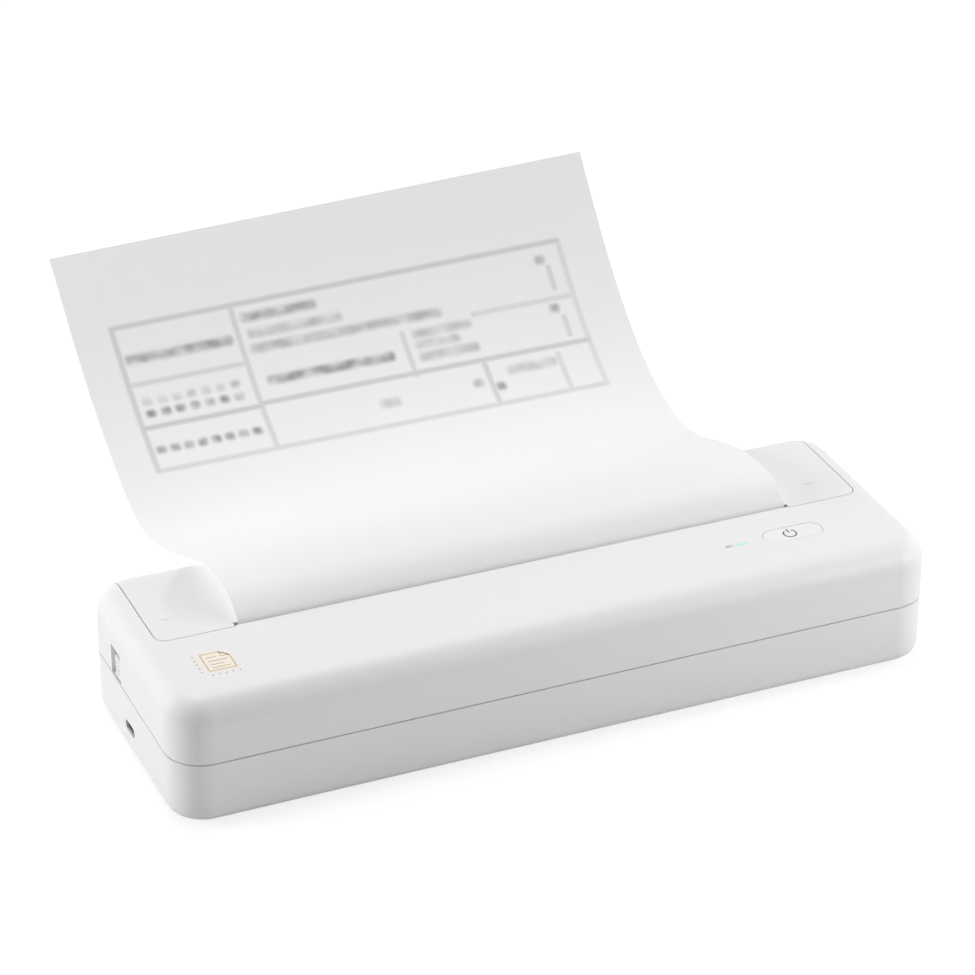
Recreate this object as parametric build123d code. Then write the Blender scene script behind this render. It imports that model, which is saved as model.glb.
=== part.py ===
from build123d import *
import os
from math import acos, atan2, cos, degrees, hypot, pi, radians, sin, tan

# A portable page printer: a low case with a rear-hinged cover over the paper roll.
# Origin: centre of the plane that the rubber feet stand on. +X is right, +Y is back, +Z is up.
# All sizes are millimetres.

# ---- paper and case ----
PAPER_W = 210.0           # A4 width
END_ROOM = 38.5           # case past each edge of the paper
CASE_L = PAPER_W + 2 * END_ROOM
CASE_W = 95.0             # depth, front to back
CASE_H = 47.5             # height without the feet
SEAM_H = 23.6             # case bottom to the middle of the seam
SEAM_GAP = 0.5            # height of the groove that shows at the seam
PLAN_R = 13.5             # upright corners
TOP_R = 9.5               # rounded top edge
BASE_R = 4.5              # rounded bottom edge
WALL = 2.0                # moulded wall
LIP_T = 0.8               # locating lip inside the seam
LIP_H = 1.6
FOOT_PROUD = 1.0          # the feet stand this far below the case
FOOT_R = 6.0
FOOT_SEAT = 0.8           # depth of each foot's recess
FOOT_IN_X = 26.0          # foot centre from the end of the case
FOOT_IN_Y = 14.5          # foot centre from the front or back

POST_R = 3.0              # screw posts that join the two halves
POST_FRONT_IN = (9.0, 11.0)   # from the end, from the front
POST_BACK_IN = (5.5, 20.5)
SCREW_R = 1.25
SCREW_BITE = 8.0          # thread in the upper case's post
HEAD_R = 2.4              # screw head
HEAD_SEAT = 2.4           # top of the head above the case bottom
SCREW_HEAD_T = 1.9         # its thickness
CROSS = (1.6, 0.3)        # half length and half width of the driver's cross
CROSS_T = 0.8
STRIP_RIBS = 6            # ribs under the front strip
STRIP_RIB_PITCH = 30.0

# ---- clearances ----
FIT = 0.05                # running fit, on the radius
SEAT = 0.03               # press or slip seat, on the radius
GAP = 0.3                 # between neighbours that do not touch
SHUT_GAP = 0.34           # shut line round the cover
MERGE = 0.5               # how far joined forms run into each other

# ---- cover and hinge ----
STRIP_W = 43.5            # front strip, from the front face to the cover's line
COVER_END = 9.0           # cover edge from the end of the case
COVER_CORNER_R = 4.5      # front corners of the cover
HINGE_R = 4.1             # barrel along the cover's lower edge
HINGE_PIN_R = 1.5
HINGE_PIN_IN = 10.5       # pin length inside the barrel
HINGE_PIN_OUT = 3.4       # pin length inside the case's ear
KNUCKLE_L = 12.5
EAR_T = 4.0               # case ear round the pin, from the axis to its edge
RIB_T = 1.2               # stiffening ribs under the cover
RIB_DEPTH = 3.0
RIB_COUNT = 8
RIB_IN = 8.0              # outer ribs from the ends of the platen
LEDGE_W = 2.2             # rest for the cover's side edges
LEDGE_T = 1.2
HOOK_IN = 3.5             # cover hook from the cover's left edge
HOOK_W = 3.0
HOOK_DEEP = 4.0           # hook below the top of the release tongue
NOSE_T = 1.8
DECK_T = 1.4              # inner decks over the gears and the main board
DECK_DROP = 7.5           # decks below the top face
DECK_LEG = 2.0

# ---- roll and tray ----
PAPER_T = 0.3             # drawn thicker than real paper
ROLL_R = 13.5
CORE_R = 6.5
CORE_T = 1.0
ROLL_BACK = 4.5           # roll to the inside of the rear wall
TRAY_T = 1.6
TRAY_STAND = 1.5          # tray above the case floor
TRAY_GAP = 0.4            # roll to tray
TRAY_BACK = 78.0          # degrees that the trough climbs behind the roll
TRAY_LEAD = 7.0           # degrees between the trough's front edge and the paper
RAMP_GAP = 1.2            # ramp below the paper
RAMP_SPAN = (-0.12, 0.8)  # ramp's ends, as parts of the paper's straight run
HUB_T = 1.6               # flange of each roll guide
HUB_REACH = 9.0           # how far a guide's spigot enters the core
HUB_UNDER = 3.0           # flange inside the edge of the full roll
LEG_W = 10.0
LEG_FOOT = (5.5, 1.4)     # length and thickness of the foot of its leg
SENSOR_AT = 0.2           # paper sensor's place, as a part of the straight run
SENSOR = (3.0, 6.0, 8.0)  # its height, length along the paper and width
SENSOR_X = 40.0

# ---- platen and nip ----
NIP_BACK = 1.5            # platen surface behind the cover's line
PLATEN_DROP = 12.5        # platen axis below the top face
PLATEN_R = 6.5
PLATEN_OVER = 3.0         # rubber past each edge of the paper
SHAFT_R = 2.5
SHAFT_FLAT = 0.5          # depth of the flat that drives the gear
BUSH_R = 4.0
BUSH_FLANGE_R = 5.0
BUSH_FLANGE_T = 0.8
ARM_IN = 1.0              # platen's end to the cover arm
ARM_T = 2.7               # cover arm that holds each bush
ARM_R = 6.2
SLOT_OVER = 1.2           # slot past each edge of the paper
SLOT_BACK = 1.2           # slot behind the paper

# ---- print head ----
CERAMIC_T = 1.0           # ceramic plate
HEAD_Z = (8.0, 6.0)       # plate below and above the nip
HEATER_R = 0.5
HEATER_PROUD = 0.12       # heater bead in front of the plate
SINK_T = 3.5
SINK_BELOW = 7.0          # heat sink below the plate
SINK_OVER = 3.8           # heat sink past each end of the plate
FIN_COUNT = 5
FIN_GROOVE = 1.4
FIN_DEPTH = 1.5
PIVOT_UP = 3.0            # head pivot above the foot of the heat sink
PIVOT_R = 1.2
PIVOT_IN = 8.0            # pivot pin inside the heat sink
SPRING_X = (-PAPER_W / 3, 0.0, PAPER_W / 3)
SPRING_R = 2.2
SPRING_WIRE = 0.35
SPRING_L = 4.4
SPRING_DROP = 2.0         # springs below the nip line
SPRING_TURNS = 4
RAIL_T = 1.2
RAIL_Z = (15.0, 2.5)      # rail below and above the nip
SPRING_PEG = (1.3, 1.5)   # radius and height of the peg inside each spring
TOOTH = (2.5, 0.9)        # tear bar's tooth, pitch and depth
TEAR_BAR = (5.0, 0.6)     # its depth and thickness

# ---- drive ----
PLATE_T = 1.2             # steel side plates and gear plate
PLATE_IN = 0.8            # cover arm to side plate
PLATE_FOOT = (8.0, 15.0)  # bent foot of each side plate, across and along
PLATE_FRONT = 3.0         # side plate in front of the head pivot
PLATE_BACK = 7.0          # side plate behind the platen axis
PLATE_HEEL = (5.0, 11.0)  # step at the back of its foot, along and up
FRAME_SCREW = (1.2, 2.2)  # shank and head radius
MODULE = 0.6
PRESSURE = radians(20)
BACKLASH = 0.1
PLATEN_TEETH = 24
IDLER_SMALL = 15
IDLER_BIG = 36
PINION_TEETH = 12
IDLER_LEAN = 9.8          # degrees that the idler's line leans from upright
MOTOR_LEAN = 30.0         # degrees that the pinion's line drops to the front
GEAR_W = 4.0
BIG_W = 2.4
GEAR_IN = 0.8             # bush flange to the platen gear
GEAR_OUT = 1.8            # big gear to the gear plate
PINION_OVER = (0.3, 1.0)  # pinion past the big gear, inwards and outwards
HUB_R = 3.9               # hub and rim of each gear, with a thinner web between them
RIM_T = 1.3
WEB_IN = 0.7
HOLES = (5, 1.3)          # lightening holes in the big gear, number and radius
AXLE_R = 1.5
WASHER_R = 2.9
MOTOR_R = 10.0
MOTOR_ROOM = 1.9          # motor to the end wall
MOTOR_SHAFT_R = 1.0
MOTOR_BOSS_R = 3.0
EAR_OUT = 12.6            # flange ear from the motor's axis
EAR_R = 2.6
EAR_PLATE = 0.8
MARGIN = 3.4              # gear plate round the motor's ears and the idler's axle

# ---- controls and electronics ----
BUTTON_L = 23.2
BUTTON_W = 9.2
BUTTON_IN_X = 44.4        # button centre from the right end of the case
BUTTON_IN_Y = 26.5        # button centre from the front of the case
BUTTON_TRAVEL = 0.4
BUTTON_GAP = 0.14
BUTTON_FLANGE = 1.2       # retaining flange past the cap
STEM_R = 2.2
FLANGE_T = 0.9
LED_L = 4.6
LED_W = 1.8
LED_FROM_BUTTON = 20.4
BOARD_T = 1.2
TOP_BOARD = (9.0, 18.0, 8.5)  # small board left of the lens, right of the button and each side of both
BOARD_POST_R = 1.8
TACT = 6.0
TACT_H = (1.6, 3.4)       # switch body and plunger above the board
USB_W = 8.94
USB_H = 3.2
USB_WALL = 0.3
USB_L = 7.3
USB_IN = 0.8              # port's mouth from the end of the case
USB_UP = 10.9             # port centre above the case bottom
USB_AHEAD = 8.0           # port centre in front of the slider's recess
BAY_BACK = 26.5           # recess of the release slider, from the back of the case
BAY_L = 10.0
BAY_UP = (23.9, 35.4)     # above the case bottom
SLIDER_L = 6.4            # thumb piece along the case
SLIDER_H = 8.0
SLIDER_T = 1.4            # plate behind the thumb piece
SLIDER_TRAVEL = 3.0
TONGUE = (3.0, 1.6)       # release tongue's width and thickness
SLIDER_SPRING = (1.4, 0.25)   # radius and wire
BOARD_CLEAR = 3.5         # main board behind the cells
BOARD_BACK = 6.0          # main board behind the port
BOARD_SIDE = 1.6          # main board to the side plate
STRIP_L = 45.0            # strip of the main board past the edge of the paper
STRIP_CLEAR = 4.0         # strip in front of the head pivot
BOARD_SCREW = (0.8, 1.7)  # shank and head radius
SCREW_IN = 4.0            # its place from the board's edges
CHIPS = ((5.2, 7.5, 8.0, 8.0, 1.1), (30.0, 3.0, 6.0, 6.0, 1.2), (20.0, 15.5, 2.0, 3.2, 0.8),
         (27.0, 9.5, 4.0, 2.0, 0.8), (50.0, 5.0, 5.0, 4.0, 1.0))    # corner, length, width and height
CAPACITOR = (1.9, 4.5)    # radius and height
CAPACITOR_PITCH = 4.6
CABLE_W = 20.0            # head cable
CABLE_T = 0.3
CABLE_IN = 17.0           # its middle from the edge of the paper
CABLE_BEND = 2.0
SOCKET = (22.0, 4.0, 2.4) # cable socket's length, width and height
CELL_R = 9.1
CELL_L = 65.0

# ---- printed page: its two edges as (back from the slot, up from the top face), at each bend ----
COVER_RUN = 50.45         # slot to the back of the case that the edges are laid out for
LEFT_EDGE = ((0.65, 0.6), (2.65, 2.7), (6.95, 5.4), (14.45, 7.3), (27.95, 6.6), (49.95, -1),
             (66.95, -8.2), (82.95, -14), (103.95, -18.5), (129.95, -10.5), (163.95, 9.9),
             (207.35, 46.4))
RIGHT_EDGE = ((0.65, 0.6), (2.65, 2.8), (6.35, 5.7), (13.45, 7.4), (24.95, 7.1), (38.95, 4.9),
              (51.95, 0.9), (66.95, -4.5), (82.95, -7.1), (102.95, -3.1), (139.45, 20),
              (180.75, 65.9))
PAGE_START = 2.5          # the loose page begins this far below the top face
PAGE_STEPS = 22           # stations along the page, closest together at the slot

# ---- worked out ----
BASE_Z = FOOT_PROUD
FLOOR_Z = BASE_Z + WALL
TOP_Z = BASE_Z + CASE_H
SKIN_Z = TOP_Z - WALL
RIM_Z = BASE_Z + SEAM_H - SEAM_GAP / 2
SKIRT_Z = BASE_Z + SEAM_H + SEAM_GAP / 2
END_X = CASE_L / 2
BACK_Y = CASE_W / 2
FRONT_Y = -CASE_W / 2
COVER_Y = FRONT_Y + STRIP_W
COVER_X = END_X - COVER_END
COVER_EDGE = COVER_X - SHUT_GAP / 2
OPENING_EDGE = COVER_X + SHUT_GAP / 2
HINGE_Y = BACK_Y - HINGE_R
HINGE_Z = RIM_Z + GAP + HINGE_R
PLATEN_Y = COVER_Y + NIP_BACK + PLATEN_R
PLATEN_Z = TOP_Z - PLATEN_DROP
PLATEN_X = PAPER_W / 2 + PLATEN_OVER
WEB_R = PLATEN_R + GAP + PAPER_T / 2
WEB_Y = PLATEN_Y - WEB_R
HEAD_Y = WEB_Y - PAPER_T / 2 - GAP
SINK_Y = HEAD_Y - CERAMIC_T
SINK_Z = PLATEN_Z - HEAD_Z[0] - SINK_BELOW
HEAD_TOP = PLATEN_Z + HEAD_Z[1]
PIVOT_Y = SINK_Y - SINK_T / 2
PIVOT_Z = SINK_Z + PIVOT_UP
SLOT_X = PAPER_W / 2 + SLOT_OVER
SLOT_FRONT = WEB_Y - PAPER_T / 2 - GAP
SLOT_REAR = WEB_Y + PAPER_T / 2 + SLOT_BACK
TRAY_FLOOR = FLOOR_Z + TRAY_STAND + TRAY_T
ROLL_Y = BACK_Y - WALL - ROLL_BACK - ROLL_R
ROLL_Z = TRAY_FLOOR + TRAY_GAP + ROLL_R
ARM_X = PLATEN_X + ARM_IN
PLATE_X = ARM_X + ARM_T + PLATE_IN
BUSH_END = PLATE_X + PLATE_T + GAP
GEAR_X = BUSH_END + BUSH_FLANGE_T + GEAR_IN
BIG_X = GEAR_X + GEAR_W + 2 * GAP
GEAR_PLATE_X = BIG_X + BIG_W + GEAR_OUT
MOTOR_X = GEAR_PLATE_X + PLATE_T
MOTOR_L = END_X - WALL - MOTOR_ROOM - MOTOR_X
IDLER_C = MODULE * (PLATEN_TEETH + IDLER_SMALL) / 2
IDLER_Y = PLATEN_Y - IDLER_C * sin(radians(IDLER_LEAN))
IDLER_Z = PLATEN_Z - IDLER_C * cos(radians(IDLER_LEAN))
MOTOR_C = MODULE * (IDLER_BIG + PINION_TEETH) / 2
MOTOR_Y = IDLER_Y - MOTOR_C * cos(radians(MOTOR_LEAN))
MOTOR_Z = IDLER_Z - MOTOR_C * sin(radians(MOTOR_LEAN))
RAIL_Y = SINK_Y - SINK_T - SPRING_L - 2 * GAP
BUTTON_X = END_X - BUTTON_IN_X
BUTTON_Y = FRONT_Y + BUTTON_IN_Y
BUTTON_FOOT = SKIN_Z - 0.2 - FLANGE_T
STEM_Z = BUTTON_FOOT - 0.4
TACT_Z = STEM_Z - BUTTON_TRAVEL - 0.2
TOP_BOARD_Z = TACT_Z - TACT_H[1]
LED_X = BUTTON_X - LED_FROM_BUTTON
BAY_Y = (BACK_Y - BAY_BACK - BAY_L, BACK_Y - BAY_BACK)
USB_Y = BAY_Y[0] - USB_AHEAD
USB_Z = BASE_Z + USB_UP
BOARD_Z = USB_Z - USB_H / 2
SLIDE_Z = (BASE_Z + BAY_UP[0] + 0.6, BASE_Z + BAY_UP[0] + 0.6 + SLIDER_H)
HOOK_X = -COVER_EDGE + HOOK_IN
HOOK_BACK = BAY_Y[0] - 1.0
DECK_Z = TOP_Z - DECK_DROP
CELL_Y = FRONT_Y + WALL + 1.8 + CELL_R
CELL_Z = FLOOR_Z + 1.0 + CELL_R
POST_FRONT = (END_X - POST_FRONT_IN[0], FRONT_Y + POST_FRONT_IN[1])
POST_BACK = (END_X - POST_BACK_IN[0], BACK_Y - POST_BACK_IN[1])
BOARD_X = (-END_X + WALL + GAP + 1.5, -PLATE_X - PLATE_T - BOARD_SIDE)
BOARD_Y = (CELL_Y + CELL_R + BOARD_CLEAR, USB_Y + BOARD_BACK)
STRIP_END = STRIP_L - PAPER_W / 2
CABLE_X = CABLE_IN - PAPER_W / 2
STRIP_BACK = PIVOT_Y - STRIP_CLEAR


# ---- helpers ----
def block(x0, x1, y0, y1, z0, z1):
    """A rectangular block between two corners."""
    middle = Pos((x0 + x1) / 2, (y0 + y1) / 2, (z0 + z1) / 2)
    return middle * Box(abs(x1 - x0), abs(y1 - y0), abs(z1 - z0))


def rod(radius, x0, x1, y, z):
    """A round bar along X."""
    return Pos((x0 + x1) / 2, y, z) * Rot(0, 90, 0) * Cylinder(radius, abs(x1 - x0))


def post(radius, x, y, z0, z1):
    """A round bar along Z."""
    return Pos(x, y, (z0 + z1) / 2) * Cylinder(radius, z1 - z0)


def along_x(profile, x0, x1):
    """A profile drawn as (Y, Z), extruded from x0 to x1."""
    return extrude(Plane(origin=(x0, 0, 0), x_dir=(0, 1, 0), z_dir=(1, 0, 0)) * profile, x1 - x0)


def pill(x, y, length, width, z0, z1):
    """A flat bar with round ends, long in X."""
    return Pos(x, y, z0) * extrude(SlotOverall(length, width), z1 - z0)


def both_ends(shape):
    """A shape at the right end together with its mirror at the left."""
    return shape + mirror(shape, Plane.YZ)


def case_block(z0, z1, inset, top_r=0.0, base_r=0.0):
    """The case's rounded outline between two heights, drawn in by inset."""
    plan = RectangleRounded(CASE_L - 2 * inset, CASE_W - 2 * inset, PLAN_R - inset)
    body = Pos(0, 0, z0) * extrude(plan, z1 - z0)
    if top_r:
        body = fillet(body.edges().group_by(Axis.Z)[-1], top_r)
    if base_r:
        body = fillet(body.edges().group_by(Axis.Z)[0], base_r)
    return body


def upper_skin(z0):
    """The moulded skin above the seam, before the cover is parted from it."""
    outside = case_block(z0, TOP_Z, 0, top_r=TOP_R)
    inside = case_block(z0 - 1, SKIN_Z, WALL, top_r=TOP_R - WALL)
    return outside - inside


def cover_plan(grow, z0, z1):
    """The cover's outline in plan, grown by half the shut line or drawn in by it."""
    half = COVER_X + grow
    front = COVER_Y - grow
    back = BACK_Y + WALL
    plan = Pos(0, (front + back) / 2) * Rectangle(2 * half, back - front)
    plan = fillet(plan.vertices().group_by(Axis.Y)[0], COVER_CORNER_R + grow)
    return Pos(0, 0, z0) * extrude(plan, z1 - z0)


def gear_disc(teeth, x0, x1, y, z, turn, bore):
    """An involute spur gear about an axis along X, with one tooth centred at the angle turn."""
    pitch = MODULE * teeth / 2
    base = pitch * cos(PRESSURE)
    root = pitch - 1.25 * MODULE
    outer = pitch + MODULE
    half = (pi * MODULE / 2 - BACKLASH) / 2 / pitch + tan(PRESSURE) - PRESSURE
    flank = []
    for step in range(4):
        radius = max(base, root) + (outer - max(base, root)) * step / 3
        angle = acos(min(1.0, base / radius))
        flank.append((radius, half - tan(angle) + angle))
    flank.insert(0, (root, flank[0][1]))
    points = []
    for tooth in range(teeth):
        centre = turn + 2 * pi * tooth / teeth
        points += [(r * cos(centre - a), r * sin(centre - a)) for r, a in flank]
        points += [(r * cos(centre + a), r * sin(centre + a)) for r, a in reversed(flank)]
    profile = Pos(y, z) * (Polygon(*points, align=None) - Circle(bore))
    return along_x(profile, x0, x1)


def coil(radius, wire, length, turns):
    """A compression spring along Z from the origin, with a round wire."""
    path = Helix(pitch=(length - 2 * wire) / turns, height=length - 2 * wire, radius=radius - wire)
    section = Plane(origin=path @ 0, z_dir=path % 0) * Circle(wire)
    return Pos(0, 0, wire) * sweep(section, path=path, is_frenet=True)


# ---- case ----
def screw_places():
    """Centres of the four posts where the halves are screwed together."""
    return [(side * x, y) for side in (-1, 1) for x, y in (POST_FRONT, POST_BACK)]


def foot_places():
    """Centres of the four rubber feet."""
    x, y = END_X - FOOT_IN_X, BACK_Y - FOOT_IN_Y
    return [(-x, -y), (-x, y), (x, -y), (x, y)]


def board_screw_places():
    """Centres of the screws that hold the main board."""
    front = BOARD_Y[0] + SCREW_IN
    beside_foot = -PLATE_X - PLATE_FOOT[0] - SCREW_IN
    return [(BOARD_X[0] + SCREW_IN, front), (STRIP_END - SCREW_IN, front),
            (beside_foot, BOARD_Y[1] - SCREW_IN)]


def frame_screw_places():
    """Centres of the screws that hold the side plates and the gear plate to the floor."""
    foot_x = PLATE_X + PLATE_FOOT[0] * 0.65
    foot_y = PLATEN_Y + PLATE_BACK
    return [(-foot_x, foot_y), (foot_x, foot_y), (GEAR_PLATE_X + PLATE_FOOT[0] * 0.65, foot_y)]


def lower_case():
    """Open tray with a locating lip, screw bosses, cell saddles and tray rails."""
    outside = case_block(BASE_Z, RIM_Z, 0, base_r=BASE_R)
    inside = case_block(FLOOR_Z, RIM_Z + 1, WALL, base_r=BASE_R - WALL)
    body = outside - inside
    lip = case_block(RIM_Z - 3, RIM_Z + LIP_H, WALL - LIP_T) - case_block(RIM_Z - 4, RIM_Z + LIP_H + 1, WALL)
    behind = block(-END_X, END_X, HINGE_Y - EAR_T - 1, BACK_Y, RIM_Z, RIM_Z + LIP_H + 1)
    beside = block(-END_X, 0, BAY_Y[0] - 3, BAY_Y[1] + 3, RIM_Z, RIM_Z + LIP_H + 1)
    body += lip - behind - beside
    for x, y in screw_places():
        body += post(POST_R, x, y, FLOOR_Z - 0.5, RIM_Z)
        body -= post(SCREW_R + GAP, x, y, BASE_Z - 1, RIM_Z + 1)
        body -= post(HEAD_R + GAP, x, y, BASE_Z - 1, BASE_Z + HEAD_SEAT)
    body += floor_ribs()
    for x, y in foot_places():
        body -= post(FOOT_R + 0.1, x, y, BASE_Z - 1, BASE_Z + FOOT_SEAT)
    port = Plane(origin=(-END_X - 1, USB_Y, USB_Z), x_dir=(0, 1, 0), z_dir=(1, 0, 0))
    body -= extrude(port * SlotOverall(USB_W + MERGE, USB_H + MERGE), WALL + 2)
    for x, y in board_screw_places():
        body += post(BOARD_POST_R, x, y, FLOOR_Z - MERGE, BOARD_Z - BOARD_T)
        body -= post(BOARD_SCREW[0] + SEAT, x, y, FLOOR_Z, BOARD_Z)
    for x, y in frame_screw_places():
        body -= post(FRAME_SCREW[0] + SEAT, x, y, FLOOR_Z - 0.7 * WALL, FLOOR_Z + 1)
    return body


def floor_ribs():
    """Saddles for the cells and rails under the paper tray."""
    ribs = Part()
    for share in (-0.75, -0.25, 0.25, 0.75):
        x = share * CELL_L
        saddle = block(x - RIB_T / 2, x + RIB_T / 2, CELL_Y - CELL_R - 1, CELL_Y + CELL_R + 1,
                       FLOOR_Z - MERGE, CELL_Z - CELL_R / 4)
        ribs += saddle - rod(CELL_R + GAP, x - RIB_T, x + RIB_T, CELL_Y, CELL_Z)
        x = share * PAPER_W * 0.57
        ribs += block(x - RIB_T / 2, x + RIB_T / 2, ROLL_Y - CORE_R, ROLL_Y + CORE_R,
                      FLOOR_Z - MERGE, FLOOR_Z + TRAY_STAND - 0.1)
    return ribs


def upper_case():
    """Front strip and two end blocks round the cover, with its ears, ledges and screw posts."""
    body = upper_skin(SKIRT_Z) - cover_plan(SHUT_GAP / 2, SKIRT_Z - 1, TOP_Z + 1)
    rebate = case_block(SKIRT_Z - 1, RIM_Z + LIP_H + 0.2, WALL - LIP_T - 0.1)
    body -= rebate
    body += block(-SLOT_X, SLOT_X, COVER_Y - SHUT_GAP / 2 - 1, SLOT_FRONT, SKIN_Z, TOP_Z)
    ledge_back = HINGE_Y - EAR_T - 3
    side = block(OPENING_EDGE, OPENING_EDGE + LEDGE_T, COVER_Y + COVER_CORNER_R + 1, ledge_back,
                 SKIN_Z - 5 * LEDGE_T, SKIN_Z + MERGE)
    side += block(OPENING_EDGE - LEDGE_W, OPENING_EDGE + LEDGE_T, COVER_Y + ARM_R + 4, ledge_back,
                  SKIN_Z - GAP - LEDGE_T, SKIN_Z - GAP)
    inside = case_block(SKIRT_Z - 1, TOP_Z - 0.5, 0.5, top_r=TOP_R - 0.5)
    ear = block(OPENING_EDGE, END_X, HINGE_Y - EAR_T, BACK_Y, SKIRT_Z, HINGE_Z + EAR_T)
    side += ear & inside
    for x, y in (POST_FRONT, POST_BACK):
        tall = post(POST_R, x, y, SKIRT_Z + 0.1, SKIN_Z + MERGE)
        side += (tall & inside) - post(SCREW_R + SEAT, x, y, SKIRT_Z, SKIRT_Z + SCREW_BITE + 1)
    body += both_ends(side)
    pin_end = OPENING_EDGE + HINGE_PIN_OUT
    body -= both_ends(rod(HINGE_PIN_R + SEAT, OPENING_EDGE - 1, pin_end, HINGE_Y, HINGE_Z))
    cap_room = 2 * BUTTON_GAP
    body -= pill(BUTTON_X, BUTTON_Y, BUTTON_L + cap_room, BUTTON_W + cap_room, SKIN_Z - 1, TOP_Z + 1)
    body -= pill(LED_X, BUTTON_Y, LED_L + 2 * FIT, LED_W + 2 * FIT, SKIN_Z - 1, TOP_Z + 1)
    for x, y in top_board_posts():
        body += post(BOARD_POST_R, x, y, TOP_BOARD_Z + BOARD_T, SKIN_Z + MERGE)
    bay = block(-END_X - 1, -END_X + WALL + 1, *BAY_Y, *(BASE_Z + up for up in BAY_UP))
    body -= fillet(bay.edges().filter_by(Axis.X), 0.8)
    wall = -END_X + WALL
    guide = block(wall - MERGE, wall + SLIDER_T + MERGE, BAY_Y[0] - 3, BAY_Y[1] + 3, 0, RIB_T)
    body += Pos(0, 0, SLIDE_Z[1] + SLIDER_L - 2) * guide
    return body + strip_ribs()


def strip_ribs():
    """Ribs under the front strip, left of the small board."""
    ribs = Part()
    for i in range(STRIP_RIBS):
        x = LED_X - TOP_BOARD[0] - STRIP_RIB_PITCH * (i + 0.5)
        ribs += block(x - RIB_T / 2, x + RIB_T / 2, FRONT_Y + TOP_R, SLOT_FRONT - TEAR_BAR[0] - 1,
                      SKIN_Z - RIB_DEPTH, SKIN_Z + MERGE)
    return ribs


def end_decks():
    """Inner decks that hide the gears and the main board, each cut away round the platen's end."""
    inner = PLATE_X + PLATE_T + 3 * GAP
    middle = GEAR_X + GEAR_W + 4 * GAP
    outer = OPENING_EDGE - LEDGE_T
    hook_front = HOOK_BACK - HOOK_W - DECK_LEG
    front = hook_front - 2 * DECK_LEG
    step = PLATEN_Y + MODULE * (PLATEN_TEETH / 2 + 1) + 5 * GAP
    back = HINGE_Y - HINGE_R - 5 * GAP
    deck = block(inner, outer, step, back, DECK_Z - DECK_T, DECK_Z)
    deck += block(middle, outer, front, back, DECK_Z - DECK_T, DECK_Z)
    leg_y = back - LEG_W
    deck += block(inner, inner + DECK_LEG, leg_y, back, FLOOR_Z + 0.1, DECK_Z - DECK_T + MERGE)
    deck += block(outer - DECK_LEG, outer, leg_y, back, FLOOR_Z + 0.1, DECK_Z - DECK_T + MERGE)
    deck += block(inner, outer, back - DECK_LEG, back, DECK_Z - LEG_W, DECK_Z - DECK_T + MERGE)
    hook_way = block(HOOK_X - 1, HOOK_X + HOOK_W + 1, hook_front, HOOK_BACK + ARM_R,
                     DECK_Z - DECK_T - 1, DECK_Z + 1)
    return deck + mirror(deck, Plane.YZ) - hook_way


def rubber_feet():
    """Four round feet in the recesses of the lower case."""
    feet = Part()
    for x, y in foot_places():
        foot = post(FOOT_R, x, y, 0, BASE_Z + FOOT_SEAT)
        feet += fillet(foot.edges().group_by(Axis.Z)[0], 0.4)
    return feet


def case_screws():
    """Four screws up through the lower case into the upper case."""
    screws = Part()
    top = BASE_Z + HEAD_SEAT
    for x, y in screw_places():
        screw = post(HEAD_R, x, y, top - SCREW_HEAD_T, top) + post(SCREW_R, x, y, top, SKIRT_Z + SCREW_BITE)
        screws += screw - driver_cross(x, y, BASE_Z, top - SCREW_HEAD_T + CROSS_T)
    return screws


def driver_cross(x, y, z0, z1):
    """The cross that a screwdriver turns."""
    long, wide = CROSS
    bar = block(x - long, x + long, y - wide, y + wide, z0, z1)
    return bar + block(x - wide, x + wide, y - long, y + long, z0, z1)


def floor_screw(shank, head, x, y, low, seat):
    """A pan-head screw from above, with its head on seat and its tip at low."""
    top = seat + head / 2
    screw = post(shank, x, y, low, seat) + post(head, x, y, seat, top)
    return screw - driver_cross(x, y, top - head / 4, top + 1)


def frame_screws():
    """Screws through the feet of the side plates and the gear plate into the floor."""
    screws = Part()
    for x, y in frame_screw_places():
        screws += floor_screw(*FRAME_SCREW, x, y, FLOOR_Z - 0.6 * WALL, FLOOR_Z + PLATE_T)
    return screws


def board_screws():
    """Screws through the main board into its posts."""
    screws = Part()
    for x, y in board_screw_places():
        screws += floor_screw(*BOARD_SCREW, x, y, FLOOR_Z + 1, BOARD_Z)
    return screws


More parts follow.
